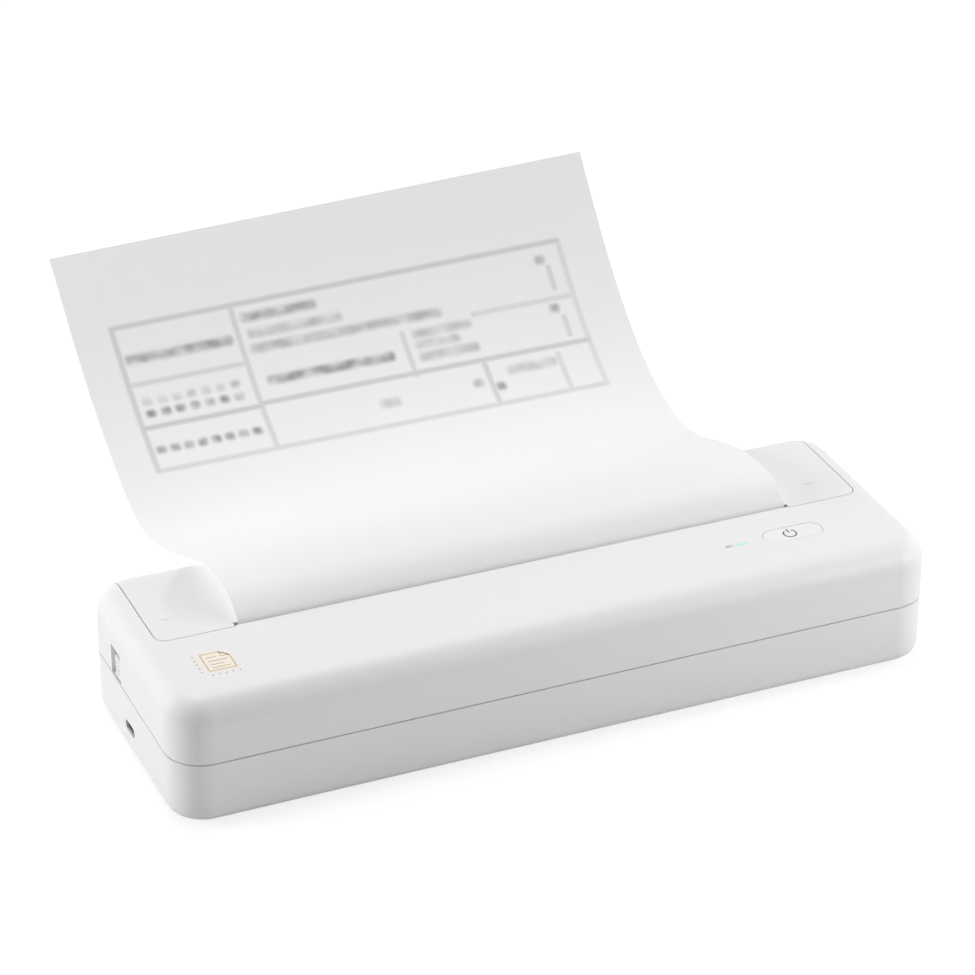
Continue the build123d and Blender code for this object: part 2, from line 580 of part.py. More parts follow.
# ---- cover ----
def top_cover():
    """Cover skin that wraps over the back edge, with its barrel, ribs and platen arms."""
    low = HINGE_Z - HINGE_R
    skin = upper_skin(RIM_Z) & cover_plan(-SHUT_GAP / 2, low, TOP_Z + 1)
    under = block(-END_X, END_X, FRONT_Y, BACK_Y + 1, low - 1, HINGE_Z)
    barrel = rod(HINGE_R, -COVER_EDGE, COVER_EDGE, HINGE_Y, HINGE_Z)
    body = (skin - under) + (skin & under & barrel)
    outside = case_block(RIM_Z, TOP_Z, 0, top_r=TOP_R)
    knuckle = rod(HINGE_R, COVER_EDGE - KNUCKLE_L, COVER_EDGE, HINGE_Y, HINGE_Z) & outside
    body += both_ends(knuckle)
    body -= both_ends(rod(HINGE_PIN_R + FIT, COVER_EDGE - HINGE_PIN_IN, COVER_EDGE + 1, HINGE_Y, HINGE_Z))
    body -= block(-SLOT_X - SHUT_GAP, SLOT_X + SHUT_GAP, COVER_Y - 1, SLOT_REAR, SKIN_Z - 1, TOP_Z + 1)
    arm = Pos(PLATEN_Y, PLATEN_Z) * Circle(ARM_R)
    arm += Pos(PLATEN_Y, (PLATEN_Z + SKIN_Z) / 2) * Rectangle(2 * ARM_R, SKIN_Z - PLATEN_Z + MERGE)
    arm -= Pos(PLATEN_Y, PLATEN_Z) * Circle(BUSH_R + SEAT)
    body += both_ends(along_x(arm, ARM_X, ARM_X + ARM_T))
    body += cover_ribs()
    low = SLIDE_Z[1] - HOOK_DEEP
    hook = block(HOOK_X, HOOK_X + HOOK_W, HOOK_BACK - HOOK_W, HOOK_BACK, low, SKIN_Z + MERGE)
    nose = block(HOOK_X, HOOK_X + HOOK_W, HOOK_BACK - MERGE, HOOK_BACK + NOSE_T, low, low + NOSE_T)
    return body + hook + nose


def cover_ribs():
    """Evenly spaced ribs across the cover's underside, following its back corner."""
    inner_r = TOP_R - WALL
    back = BACK_Y - WALL
    depth = RIB_DEPTH
    sunk = 0.3
    turn = Pos(back - inner_r, SKIN_Z - inner_r)
    bend = turn * (Circle(inner_r + sunk) - Circle(inner_r - depth))
    bend &= turn * Pos(inner_r, inner_r) * Rectangle(2 * inner_r, 2 * inner_r)
    front = PLATEN_Y + PLATEN_R + RIB_DEPTH
    flat = Pos((front + back - inner_r) / 2, SKIN_Z + (sunk - depth) / 2)
    flat *= Rectangle(back - inner_r - front, depth + sunk)
    foot = HINGE_Z + HINGE_R + 1
    wall = Pos(back + (sunk - depth) / 2, (foot + SKIN_Z - inner_r) / 2)
    wall *= Rectangle(depth + sunk, SKIN_Z - inner_r - foot)
    ribs = Part()
    reach = PLATEN_X - RIB_IN
    for i in range(RIB_COUNT):
        x = reach * (2 * i / (RIB_COUNT - 1) - 1)
        ribs += along_x(bend + flat + wall, x - RIB_T / 2, x + RIB_T / 2)
    return ribs


def hinge_pins():
    """Two short pins from the case's ears into the cover's barrel."""
    inner = COVER_EDGE - HINGE_PIN_IN + GAP
    return both_ends(rod(HINGE_PIN_R, inner, OPENING_EDGE + HINGE_PIN_OUT - 0.1, HINGE_Y, HINGE_Z))


# ---- paper path ----
def paper_roll():
    """The wound paper."""
    half = PAPER_W / 2
    return rod(ROLL_R, -half, half, ROLL_Y, ROLL_Z) - rod(CORE_R, -half, half, ROLL_Y, ROLL_Z)


def roll_core():
    """Card tube that the paper is wound on."""
    half = PAPER_W / 2
    return rod(CORE_R, -half, half, ROLL_Y, ROLL_Z) - rod(CORE_R - CORE_T, -half, half, ROLL_Y, ROLL_Z)


def roll_guides():
    """End guides whose spigots carry the core, each on a leg that stands on the case floor."""
    start = PAPER_W / 2 + GAP
    spigot_r = CORE_R - CORE_T - FIT
    foot_l, foot_t = LEG_FOOT
    low = FLOOR_Z + 0.1
    near, far = ROLL_Y - LEG_W / 2, ROLL_Y + LEG_W / 2
    guide = rod(spigot_r, start - HUB_REACH, start + MERGE, ROLL_Y, ROLL_Z)
    guide += rod(ROLL_R - HUB_UNDER, start, start + HUB_T, ROLL_Y, ROLL_Z)
    guide += block(start, start + HUB_T, near, far, low, ROLL_Z)
    guide += block(start, start + foot_l, near, far, low, low + foot_t)
    return both_ends(guide)


def web_line():
    """Where the straight run leaves the roll and meets the platen, and the way that its tray side faces."""
    roll_r = ROLL_R + GAP + PAPER_T / 2
    dy, dz = PLATEN_Y - ROLL_Y, PLATEN_Z - ROLL_Z
    away = atan2(dz, dy) + acos((roll_r - WEB_R) / hypot(dy, dz))
    start = (ROLL_Y + roll_r * cos(away), ROLL_Z + roll_r * sin(away))
    end = (PLATEN_Y + WEB_R * cos(away), PLATEN_Z + WEB_R * sin(away))
    return start, end, away


def paper_page():
    """One sheet from the roll, round the platen, up through the slot and back over the cover."""
    start, end, away = web_line()
    page_z = TOP_Z - PAGE_START
    sweep_deg = 180 - (degrees(away) % 360)
    path = Line(start, end)
    path += CenterArc((PLATEN_Y, PLATEN_Z), WEB_R, degrees(away), sweep_deg)
    path += Line((WEB_Y, PLATEN_Z), (WEB_Y, page_z))
    inner = along_x(trace(path, PAPER_T), -PAPER_W / 2, PAPER_W / 2)
    left, right = (page_section(side * PAPER_W / 2, edge, page_z)
                   for side, edge in ((-1, LEFT_EDGE), (1, RIGHT_EDGE)))
    return inner + Solid.make_loft([left, right], ruled=True)


def page_section(x, edge, page_z):
    """Closed outline of the loose page at one of its edges."""
    stretch = (BACK_Y - WEB_Y) / COVER_RUN
    bends = [(WEB_Y + back * stretch, TOP_Z + up) for back, up in edge]
    line = Spline((WEB_Y, page_z), (WEB_Y, page_z + PAGE_START / 2), *bends)
    sides = []
    for offset in (-PAPER_T / 2, PAPER_T / 2):
        points = []
        for step in range(PAGE_STEPS + 1):
            at = (step / PAGE_STEPS) ** 2
            point, along = line @ at, line % at
            points.append((x, point.X - offset * along.Y, point.Y + offset * along.X))
        sides.append(points)
    under, over = (Spline(*points) for points in sides)
    return Wire([under, Line(under @ 1, over @ 1), over, Line(over @ 0, under @ 0)])


def paper_tray():
    """Trough under the roll with a ramp that leads the paper to the platen."""
    inner_r = ROLL_R + TRAY_GAP
    outer_r = inner_r + TRAY_T
    start, end, away = web_line()
    sweep_deg = TRAY_BACK + 270 - degrees(away) % 360 - TRAY_LEAD
    centre_r = (inner_r + outer_r) / 2
    trough = trace(CenterArc((ROLL_Y, ROLL_Z), centre_r, degrees(away) + TRAY_LEAD, sweep_deg), TRAY_T)
    run = (end[0] - start[0], end[1] - start[1])
    below = PAPER_T / 2 + RAMP_GAP + TRAY_T / 2
    low, high = ((start[0] + part * run[0] + below * cos(away), start[1] + part * run[1] + below * sin(away))
                 for part in RAMP_SPAN)
    half = PAPER_W / 2
    return along_x(trough + trace(Line(low, high), TRAY_T), -half, half)


# ---- platen ----
def platen_shaft():
    """Steel shaft with a flat for the gear at its right end."""
    shaft = rod(SHAFT_R, -BUSH_END - BUSH_FLANGE_T - 1, GEAR_X + GEAR_W, PLATEN_Y, PLATEN_Z)
    flat = SHAFT_R - SHAFT_FLAT
    return shaft - shaft_key(GEAR_X - GAP, GEAR_X + GEAR_W + 1, flat)


def shaft_key(x0, x1, flat):
    """Everything beside the platen's axis past the flat."""
    over = 2 * SHAFT_R
    return block(x0, x1, PLATEN_Y - over, PLATEN_Y + over, PLATEN_Z + flat, PLATEN_Z + over)


def platen_rubber():
    """Rubber sleeve bonded to the shaft."""
    sleeve = rod(PLATEN_R, -PLATEN_X, PLATEN_X, PLATEN_Y, PLATEN_Z)
    return sleeve - rod(SHAFT_R, -PLATEN_X - 1, PLATEN_X + 1, PLATEN_Y, PLATEN_Z)


def platen_bushes():
    """Flanged bushes held by the cover's arms; they drop into the side plates' saddles."""
    bush = rod(BUSH_R, ARM_X, BUSH_END + 0.1, PLATEN_Y, PLATEN_Z)
    bush += rod(BUSH_FLANGE_R, BUSH_END, BUSH_END + BUSH_FLANGE_T, PLATEN_Y, PLATEN_Z)
    return both_ends(bush - rod(SHAFT_R + FIT, ARM_X - 1, BUSH_END + 2, PLATEN_Y, PLATEN_Z))


def mesh_turn(y0, z0, y1, z1):
    """Direction from one gear's centre to the next, in radians."""
    return atan2(z1 - z0, y1 - y0)


def platen_gear():
    """Gear keyed to the shaft's flat, with a thinner web between hub and rim."""
    end = GEAR_X + GEAR_W
    turn = mesh_turn(PLATEN_Y, PLATEN_Z, IDLER_Y, IDLER_Z)
    gear = gear_disc(PLATEN_TEETH, GEAR_X, end, PLATEN_Y, PLATEN_Z, turn, SHAFT_R + SEAT)
    key = rod(SHAFT_R + 2 * SEAT, GEAR_X, end, PLATEN_Y, PLATEN_Z)
    gear += key & shaft_key(GEAR_X, end, SHAFT_R - SHAFT_FLAT + SEAT)
    for face in (GEAR_X, end):
        gear -= web_recess(PLATEN_TEETH, face, PLATEN_Y, PLATEN_Z)
    return gear


def web_recess(teeth, face, y, z):
    """Ring sunk into a gear's face between its hub and its rim."""
    rim = MODULE * (teeth / 2 - 1.25) - RIM_T
    ring = rod(rim, face - WEB_IN, face + WEB_IN, y, z)
    return ring - rod(HUB_R, face - WEB_IN, face + WEB_IN, y, z)


def idler_gear():
    """Compound idler: a small gear under the platen gear and a big one, lightened, beside it."""
    small_turn = mesh_turn(PLATEN_Y, PLATEN_Z, IDLER_Y, IDLER_Z) + pi + pi / IDLER_SMALL
    big_turn = mesh_turn(IDLER_Y, IDLER_Z, MOTOR_Y, MOTOR_Z)
    small = gear_disc(IDLER_SMALL, GEAR_X, BIG_X + 0.1, IDLER_Y, IDLER_Z, small_turn, AXLE_R + FIT)
    big = gear_disc(IDLER_BIG, BIG_X, BIG_X + BIG_W, IDLER_Y, IDLER_Z, big_turn, AXLE_R + FIT)
    big -= web_recess(IDLER_BIG, BIG_X + BIG_W, IDLER_Y, IDLER_Z)
    count, hole_r = HOLES
    ring_r = MODULE * (IDLER_BIG / 2 - 1.25) - RIM_T - hole_r - GAP
    for i in range(count):
        angle = 2 * pi * i / count
        y, z = IDLER_Y + ring_r * cos(angle), IDLER_Z + ring_r * sin(angle)
        big -= rod(hole_r, BIG_X - 1, BIG_X + BIG_W + 1, y, z)
    return small + big


def motor_pinion():
    """Pinion on the motor's shaft, with a boss that passes the gear plate."""
    turn = mesh_turn(IDLER_Y, IDLER_Z, MOTOR_Y, MOTOR_Z) + pi + pi / PINION_TEETH
    start, end = BIG_X - PINION_OVER[0], BIG_X + BIG_W + PINION_OVER[1]
    return gear_disc(PINION_TEETH, start, end, MOTOR_Y, MOTOR_Z, turn, MOTOR_SHAFT_R + FIT)


def idler_axle():
    """Steel axle between the side plate and the gear plate."""
    return rod(AXLE_R, PLATE_X + 0.1, MOTOR_X - 0.1, IDLER_Y, IDLER_Z)


def idler_washers():
    """Spacers that keep the idler between the side plate and the gear plate."""
    washers = Part()
    for x0, x1 in ((PLATE_X + PLATE_T, GEAR_X), (BIG_X + BIG_W, GEAR_PLATE_X)):
        washers += rod(WASHER_R, x0 + 0.1, x1 - GAP, IDLER_Y, IDLER_Z)
    return washers - rod(AXLE_R + SEAT, PLATE_X, MOTOR_X, IDLER_Y, IDLER_Z)


# ---- frame ----
def side_plates():
    """Steel plates with a saddle for each platen bush, a hole for the head pivot and a bent foot."""
    front, back = PIVOT_Y - PLATE_FRONT, PLATEN_Y + PLATE_BACK
    heel_l, heel_h = PLATE_HEEL
    outline = Polygon((front, FLOOR_Z), (back + heel_l, FLOOR_Z), (back + heel_l, FLOOR_Z + heel_h),
                      (back, PIVOT_Z), (back, PLATEN_Z), (HEAD_Y + 0.4, PLATEN_Z),
                      (front, PLATEN_Z - PLATE_FRONT), align=None)
    outline -= Pos(PLATEN_Y, PLATEN_Z) * Circle(BUSH_R + GAP)
    outline -= Pos(PIVOT_Y, PIVOT_Z) * Circle(PIVOT_R + FIT)
    plate = along_x(outline, PLATE_X, PLATE_X + PLATE_T)
    foot_w, foot_l = PLATE_FOOT
    heel = back + heel_l
    plate += block(PLATE_X, PLATE_X + foot_w, heel - foot_l, heel, FLOOR_Z, FLOOR_Z + PLATE_T)
    right = plate - rod(AXLE_R + SEAT, PLATE_X - 1, PLATE_X + 3, IDLER_Y, IDLER_Z)
    plates = right + mirror(plate, Plane.YZ)
    for x, y in frame_screw_places():
        plates -= post(FRAME_SCREW[0] + SEAT, x, y, FLOOR_Z - 1, FLOOR_Z + PLATE_T + 1)
    return plates


def motor_ears():
    """Centres of the motor's two flange ears as (Y, Z)."""
    return [(MOTOR_Y + side * EAR_OUT, MOTOR_Z) for side in (-1, 1)]


def gear_plate():
    """Outer plate that carries the motor and the far end of the idler's axle."""
    low, top = FLOOR_Z, IDLER_Z + 2 * MARGIN
    front, back = MOTOR_Y - EAR_OUT - MARGIN, IDLER_Y + 2 * MARGIN
    outline = Polygon((front, low), (back, low), (back, top), (IDLER_Y - 2 * MARGIN, top),
                      (MOTOR_Y - MOTOR_R / 2, MOTOR_Z + MOTOR_R), (front, MOTOR_Z + MARGIN), align=None)
    outline = fillet(outline.vertices().group_by(Axis.Y)[0], MARGIN / 2)
    outline -= Pos(MOTOR_Y, MOTOR_Z) * Circle(MODULE * PINION_TEETH / 2 + 2)
    outline -= Pos(IDLER_Y, IDLER_Z) * Circle(AXLE_R + SEAT)
    for y, z in motor_ears():
        outline -= Pos(y, z) * Circle(BOARD_SCREW[0] + SEAT)
    plate = along_x(outline, GEAR_PLATE_X, GEAR_PLATE_X + PLATE_T)
    foot_w, foot_l = PLATE_FOOT
    x, y = frame_screw_places()[-1]
    plate += block(GEAR_PLATE_X, GEAR_PLATE_X + foot_w, back - MARGIN, y + MARGIN, low, low + PLATE_T)
    return plate - post(FRAME_SCREW[0] + SEAT, x, y, low - 1, low + PLATE_T + 1)


def stepper_motor():
    """Can motor with a flange for two screws, an end cap and its shaft."""
    end = MOTOR_X + MOTOR_L
    can = rod(MOTOR_R, MOTOR_X, end, MOTOR_Y, MOTOR_Z)
    can = fillet(can.edges().group_by(Axis.X)[-1], 0.8)
    motor = can + rod(MOTOR_BOSS_R, GEAR_PLATE_X, MOTOR_X + MERGE, MOTOR_Y, MOTOR_Z)
    motor += rod(MOTOR_BOSS_R, end - MERGE, end + MERGE, MOTOR_Y, MOTOR_Z)
    motor += rod(MOTOR_SHAFT_R, BIG_X - PINION_OVER[0], MOTOR_X, MOTOR_Y, MOTOR_Z)
    flange = Pos(MOTOR_Y, MOTOR_Z) * SlotCenterToCenter(2 * EAR_OUT, 2 * EAR_R)
    for y, z in motor_ears():
        flange -= Pos(y, z) * Circle(BOARD_SCREW[0] + SEAT)
    return motor + along_x(flange, MOTOR_X, MOTOR_X + EAR_PLATE)


def motor_screws():
    """Screws through the motor's ears into the gear plate."""
    screws = Part()
    shank, head = BOARD_SCREW
    seat = MOTOR_X + EAR_PLATE
    for y, z in motor_ears():
        screws += rod(shank, GEAR_PLATE_X + 0.1, seat, y, z) + rod(head, seat, seat + head / 2, y, z)
    return screws


# ---- print head ----
def thermal_head():
    """Ceramic plate with the raised line of heaters at the nip."""
    half = PLATEN_X - 1
    plate = block(-half, half, SINK_Y, HEAD_Y, PLATEN_Z - HEAD_Z[0], HEAD_TOP)
    heater = rod(HEATER_R, -PAPER_W / 2, PAPER_W / 2, HEAD_Y + HEATER_PROUD - HEATER_R, PLATEN_Z)
    return plate + heater


def head_heat_sink():
    """Aluminium bar behind the plate, finned at the front and hung on two pivots at its foot."""
    half = PLATEN_X - 1 + SINK_OVER
    front = SINK_Y - SINK_T
    bar = block(-half, half, front, SINK_Y, SINK_Z, HEAD_TOP)
    pitch = 2 * FIN_GROOVE
    first = SINK_Z + 2 * PIVOT_UP + FIN_GROOVE / 2
    for i in range(FIN_COUNT):
        z = first + i * pitch
        if abs(z + FIN_GROOVE / 2 - (PLATEN_Z - SPRING_DROP)) > SPRING_R:
            bar -= block(-half - 1, half + 1, front - 1, front + FIN_DEPTH, z, z + FIN_GROOVE)
    return bar - both_ends(rod(PIVOT_R + SEAT, half - PIVOT_IN, half + 1, PIVOT_Y, PIVOT_Z))


def head_pivot_pins():
    """Pins at the ends of the heat sink that turn in the side plates."""
    half = PLATEN_X - 1 + SINK_OVER
    return both_ends(rod(PIVOT_R, half - PIVOT_IN + GAP, PLATE_X + PLATE_T + MERGE, PIVOT_Y, PIVOT_Z))


def head_springs():
    """Coil springs between the rail and the heat sink."""
    springs = Part()
    for x in SPRING_X:
        place = Pos(x, RAIL_Y + GAP, PLATEN_Z - SPRING_DROP) * Rot(-90, 0, 0)
        springs += place * coil(SPRING_R, SPRING_WIRE, SPRING_L, SPRING_TURNS)
    return springs


def spring_rail():
    """Steel rail that backs the springs, with ends turned in beside the side plates."""
    half = PLATE_X - 0.1
    low, high = PLATEN_Z - RAIL_Z[0], PLATEN_Z + RAIL_Z[1]
    rail = block(-half, half, RAIL_Y - RAIL_T, RAIL_Y, low, high)
    tab = block(half - PLATE_T, half, RAIL_Y - RAIL_T, PIVOT_Y + 1, PIVOT_Z + PIVOT_UP,
                PLATEN_Z - SPRING_DROP)
    rail += both_ends(tab)
    peg_r, peg_h = SPRING_PEG
    for x in SPRING_X:
        peg = Rot(-90, 0, 0) * Cylinder(peg_r, peg_h + MERGE)
        rail += Pos(x, RAIL_Y + (peg_h - MERGE) / 2, PLATEN_Z - SPRING_DROP) * peg
    return rail


def tear_bar():
    """Toothed steel strip under the edge of the front strip."""
    pitch, tooth = TOOTH
    deep, thick = TEAR_BAR
    count = int(2 * SLOT_X / pitch)
    back = SLOT_FRONT - 0.1
    start = -count * pitch / 2
    points = [(-start, back - deep), (start, back - deep)]
    for i in range(count):
        points += [(start + i * pitch, back - tooth), (start + (i + 0.5) * pitch, back)]
    points.append((-start, back - tooth))
    return Pos(0, 0, SKIN_Z - 0.1 - thick) * extrude(Polygon(*points, align=None), thick)


# ---- controls ----
def power_button():
    """Pill-shaped cap flush with the top, with a retaining flange and a stem for the switch."""
    cap = pill(BUTTON_X, BUTTON_Y, BUTTON_L, BUTTON_W, BUTTON_FOOT, TOP_Z)
    cap = fillet(cap.edges().group_by(Axis.Z)[-1], 0.3)
    grow = 2 * BUTTON_FLANGE
    cap += pill(BUTTON_X, BUTTON_Y, BUTTON_L + grow, BUTTON_W + grow, BUTTON_FOOT, BUTTON_FOOT + FLANGE_T)
    return cap + post(STEM_R, BUTTON_X, BUTTON_Y, STEM_Z, BUTTON_FOOT + 0.1)


def led_lens():
    """Light pipe from the indicator to the top face."""
    return pill(LED_X, BUTTON_Y, LED_L, LED_W, TOP_BOARD_Z + BOARD_T + 0.8, TOP_Z)


def top_board_posts():
    """Centres of the two posts that carry the small board."""
    left, right, side = TOP_BOARD
    return ((LED_X - left * 0.67, BUTTON_Y - side * 0.6), (BUTTON_X + right * 0.84, BUTTON_Y + side * 0.7))


def top_board():
    """Small circuit board under the button."""
    left, right, side = TOP_BOARD
    top = TOP_BOARD_Z + BOARD_T - 0.05
    board = block(LED_X - left, BUTTON_X + right, BUTTON_Y - side, BUTTON_Y + side, TOP_BOARD_Z, top)
    half_l, half_w = 0.22 * LED_L, 0.33 * LED_W
    return board + block(LED_X - half_l, LED_X + half_l, BUTTON_Y - half_w, BUTTON_Y + half_w,
                         top - MERGE, top + half_w)


def tact_switch():
    """Switch under the button's stem."""
    half = TACT / 2
    base = TOP_BOARD_Z + BOARD_T
    body = block(BUTTON_X - half, BUTTON_X + half, BUTTON_Y - half, BUTTON_Y + half, base, base + TACT_H[0])
    return body + post(half * 0.57, BUTTON_X, BUTTON_Y, base + TACT_H[0] - 0.1, TACT_Z)


def release_slider():
    """Thumb piece in the left end's recess, on a plate that slides inside the wall."""
    face = -END_X + 0.2
    inner = -END_X + WALL + 0.2
    y0, y1 = BAY_Y[0] + 0.4, BAY_Y[0] + 0.4 + SLIDER_L
    low, high = SLIDE_Z
    thumb = block(face, inner + MERGE, y0, y1, low, high)
    thumb = fillet(thumb.edges().group_by(Axis.X)[0], 0.6)
    for i in range(3):
        z = low + SLIDER_H * (0.27 + 0.22 * i)
        thumb -= block(face - 1, face + 0.35, y0 + 1, y1 - 1, z, z + 0.6)
    plate = block(inner, inner + SLIDER_T, BAY_Y[0] - 2, BAY_Y[1] + 2 - SLIDER_TRAVEL, low - 0.3, high + 3.8)
    width, thick = TONGUE
    tongue_y = HOOK_BACK + NOSE_T + GAP + 0.1
    tongue = block(inner, HOOK_X + HOOK_W + 1, tongue_y, tongue_y + width, high - thick, high)
    return thumb + plate + tongue


def slider_spring():
    """Coil spring that brings the slider back."""
    radius, wire = SLIDER_SPRING
    start = BAY_Y[1] + 2 - SLIDER_TRAVEL + GAP
    place = Pos(-END_X + WALL + MERGE + radius, start, SLIDE_Z[0] + 3) * Rot(-90, 0, 0)
    return place * coil(radius, wire, POST_BACK[1] - POST_R - start - GAP, SPRING_TURNS)


# ---- electronics ----
def usb_c_socket():
    """Port shell with its tongue."""
    mouth = -END_X + USB_IN
    place = Plane(origin=(mouth, USB_Y, USB_Z), x_dir=(0, 1, 0), z_dir=(1, 0, 0))
    shell = extrude(place * SlotOverall(USB_W, USB_H), USB_L)
    shell -= extrude(place * SlotOverall(USB_W - 2 * USB_WALL, USB_H - 2 * USB_WALL), USB_L - 1)
    half_w, half_t = 0.37 * USB_W, 0.11 * USB_H
    tongue = block(mouth + 1, mouth + USB_L - MERGE, USB_Y - half_w, USB_Y + half_w,
                   USB_Z - half_t, USB_Z + half_t)
    return shell + tongue


def main_board():
    """L-shaped main circuit board."""
    low, high = BOARD_Z - BOARD_T + 0.05, BOARD_Z - 0.05
    board = block(BOARD_X[0], STRIP_END, BOARD_Y[0], STRIP_BACK, low, high)
    board += block(*BOARD_X, *BOARD_Y, low, high)
    for x, y in board_screw_places():
        board -= post(BOARD_SCREW[0] + SEAT, x, y, low - 1, high + 1)
    return board


def board_chips():
    """Chips, capacitors and the head cable's socket on the main board."""
    parts = Part()
    for x, y, length, width, height in CHIPS:
        x, y = BOARD_X[0] + x, BOARD_Y[0] + y
        parts += block(x, x + length, y, y + width, BOARD_Z, BOARD_Z + height)
    radius, height = CAPACITOR
    for i in range(3):
        x = BOARD_X[1] - 2 * radius - CAPACITOR_PITCH * i
        parts += post(radius, x, USB_Y - 2 * radius, BOARD_Z, BOARD_Z + height)
    length, width, height = SOCKET
    left, back = CABLE_X - length / 2, STRIP_BACK - 2 * GAP
    return parts + block(left, left + length, back - width, back, BOARD_Z, BOARD_Z + height)


def ribbon_cable():
    """Flat cable from the foot of the print head to the board's connector."""
    low = BOARD_Z + SOCKET[2] / 2
    end = STRIP_BACK - GAP
    path = FilletPolyline((PIVOT_Y, SINK_Z - GAP), (PIVOT_Y, low), (end, low), radius=CABLE_BEND)
    return along_x(trace(path, CABLE_T), CABLE_X - CABLE_W / 2, CABLE_X + CABLE_W / 2)


def paper_sensor():
    """Reflective sensor under the paper, clipped to the tray's ramp."""
    start, end, away = web_line()
    run = (end[0] - start[0], end[1] - start[1])
    height, length, width = SENSOR
    off = PAPER_T / 2 + RAMP_GAP + TRAY_T + 0.05 + height / 2
    y = start[0] + SENSOR_AT * run[0] + off * cos(away)
    z = start[1] + SENSOR_AT * run[1] + off * sin(away)
    body = Pos(y, z) * Rot(0, 0, degrees(away)) * Rectangle(height, length)
    return along_x(body, SENSOR_X, SENSOR_X + width)


def battery_pack():
    """Two round cells end to end."""
    cells = Part()
    for x0 in (-CELL_L - 0.5, 0.5):
        cell = rod(CELL_R, x0, x0 + CELL_L, CELL_Y, CELL_Z)
        cells += fillet(cell.edges().filter_by(GeomType.CIRCLE), 1.0)
    return cells


NODES = (lower_case, upper_case, end_decks, rubber_feet, case_screws, frame_screws, board_screws, top_cover,
         hinge_pins, paper_roll, roll_core, roll_guides, paper_page, paper_tray, platen_shaft, platen_rubber,
         platen_bushes, platen_gear, idler_gear, motor_pinion, idler_axle, idler_washers, side_plates,
         gear_plate, stepper_motor, motor_screws, thermal_head, head_heat_sink, head_pivot_pins, head_springs,
         spring_rail, tear_bar, power_button, led_lens, top_board, tact_switch, release_slider, slider_spring,
         usb_c_socket, main_board, board_chips, ribbon_cable, paper_sensor, battery_pack)

os.makedirs("parts", exist_ok=True)
for make in NODES:
    export_step(make(), "parts/" + make.__name__ + ".step")
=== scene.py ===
from math import acos, atan2, cos, hypot, pi, radians, sin

import bmesh
import bpy
import numpy as np
from mathutils import Matrix, Vector


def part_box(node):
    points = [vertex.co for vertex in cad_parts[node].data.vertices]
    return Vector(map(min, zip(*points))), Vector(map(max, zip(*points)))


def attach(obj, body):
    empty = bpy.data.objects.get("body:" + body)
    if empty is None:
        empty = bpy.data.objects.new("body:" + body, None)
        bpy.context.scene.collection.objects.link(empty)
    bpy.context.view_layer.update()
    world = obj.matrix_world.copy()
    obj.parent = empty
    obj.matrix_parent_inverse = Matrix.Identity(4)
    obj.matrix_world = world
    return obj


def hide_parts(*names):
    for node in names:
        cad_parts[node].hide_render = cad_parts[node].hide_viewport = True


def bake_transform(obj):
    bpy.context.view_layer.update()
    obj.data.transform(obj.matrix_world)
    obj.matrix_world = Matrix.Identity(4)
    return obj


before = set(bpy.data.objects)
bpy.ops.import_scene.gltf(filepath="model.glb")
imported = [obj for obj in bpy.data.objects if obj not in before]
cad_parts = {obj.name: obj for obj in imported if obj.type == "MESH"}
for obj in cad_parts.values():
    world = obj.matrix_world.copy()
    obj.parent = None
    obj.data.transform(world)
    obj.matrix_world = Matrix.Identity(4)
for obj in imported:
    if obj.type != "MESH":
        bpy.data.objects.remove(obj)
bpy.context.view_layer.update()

# A portable page printer: the printed page, the paper web inside, the marks on the case,
# the finish of every part, and a plain white studio. Metres, in the part's own frame.

MM = 0.001

# ---- sizes that the page shares with the case ----
PAPER_HALF = 105.0 * MM
PAPER_T = 0.12 * MM           # drawn thickness of the paper
DRAWN_T = 0.3 * MM            # thickness that the paper path is laid out for
CLEAR = 0.3 * MM              # paper to the rollers
PLATEN_R = 6.5 * MM
ROLL_R = 13.5 * MM
WEB_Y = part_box("platen_rubber")[0].y - CLEAR - DRAWN_T / 2    # the paper's climb to the slot
WEB_STEPS = 24                # facets of the paper round the platen
WEB_CUTS = 15                 # cuts in its straight run from the roll
PAGE_FOOT = 46.0 * MM         # height where the web becomes the loose page
# the page's two edges, in mm back from the slot and up from the top face
LEFT_EDGE = ((0.65, 0.6), (2.65, 2.7), (6.95, 5.4), (14.45, 7.3), (27.95, 6.6), (49.95, -1),
             (66.95, -8.2), (82.95, -14), (103.95, -18.5), (129.95, -10.5), (163.95, 9.9),
             (207.35, 46.4))
RIGHT_EDGE = ((0.65, 0.6), (2.65, 2.8), (6.35, 5.7), (13.45, 7.4), (24.95, 7.1), (38.95, 4.9),
              (51.95, 0.9), (66.95, -4.5), (82.95, -7.1), (102.95, -3.1), (139.45, 20),
              (180.75, 65.9))
PAGE_RISE = 47.25 * MM        # the page is still upright at this height
PAGE_COLUMNS = 40
PAGE_ROWS = 220

# ---- paper, print and rubber ----
PAPER_WHITE = (0.825, 0.825, 0.825)
PAPER_GLOW = 0.7              # share of the light that goes into the paper
PAPER_GLOW_REACH = 0.3 * MM
INK = (0.1, 0.1, 0.1)
LOW_SHEEN = 0.3               # specular level of paper, card and rubber
ROLL_TURNS = 2200.0           # how fast the rings change across the roll's end, for each metre
NOISE_RANGE = (0.3, 0.7)      # a noise texture seldom leaves this range

# ---- marks moulded or printed on the case ----
PRINT_T = 0.03 * MM           # thickness of a printed mark
TOP_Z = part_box("upper_case")[1].z
COVER_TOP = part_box("top_cover")[1].z
COVER_MARKS_AT = (("left", (-127.0, 9.8)), ("right", (121.0, 9.2)))    # mm
SHEET_MARK_AT = (-119.2, -22.6)    # mm
POWER_MARK_LEFT = 1.1         # mm from the button's middle
BATTERY_MARK_LEFT = 5.0       # mm from the lens's middle

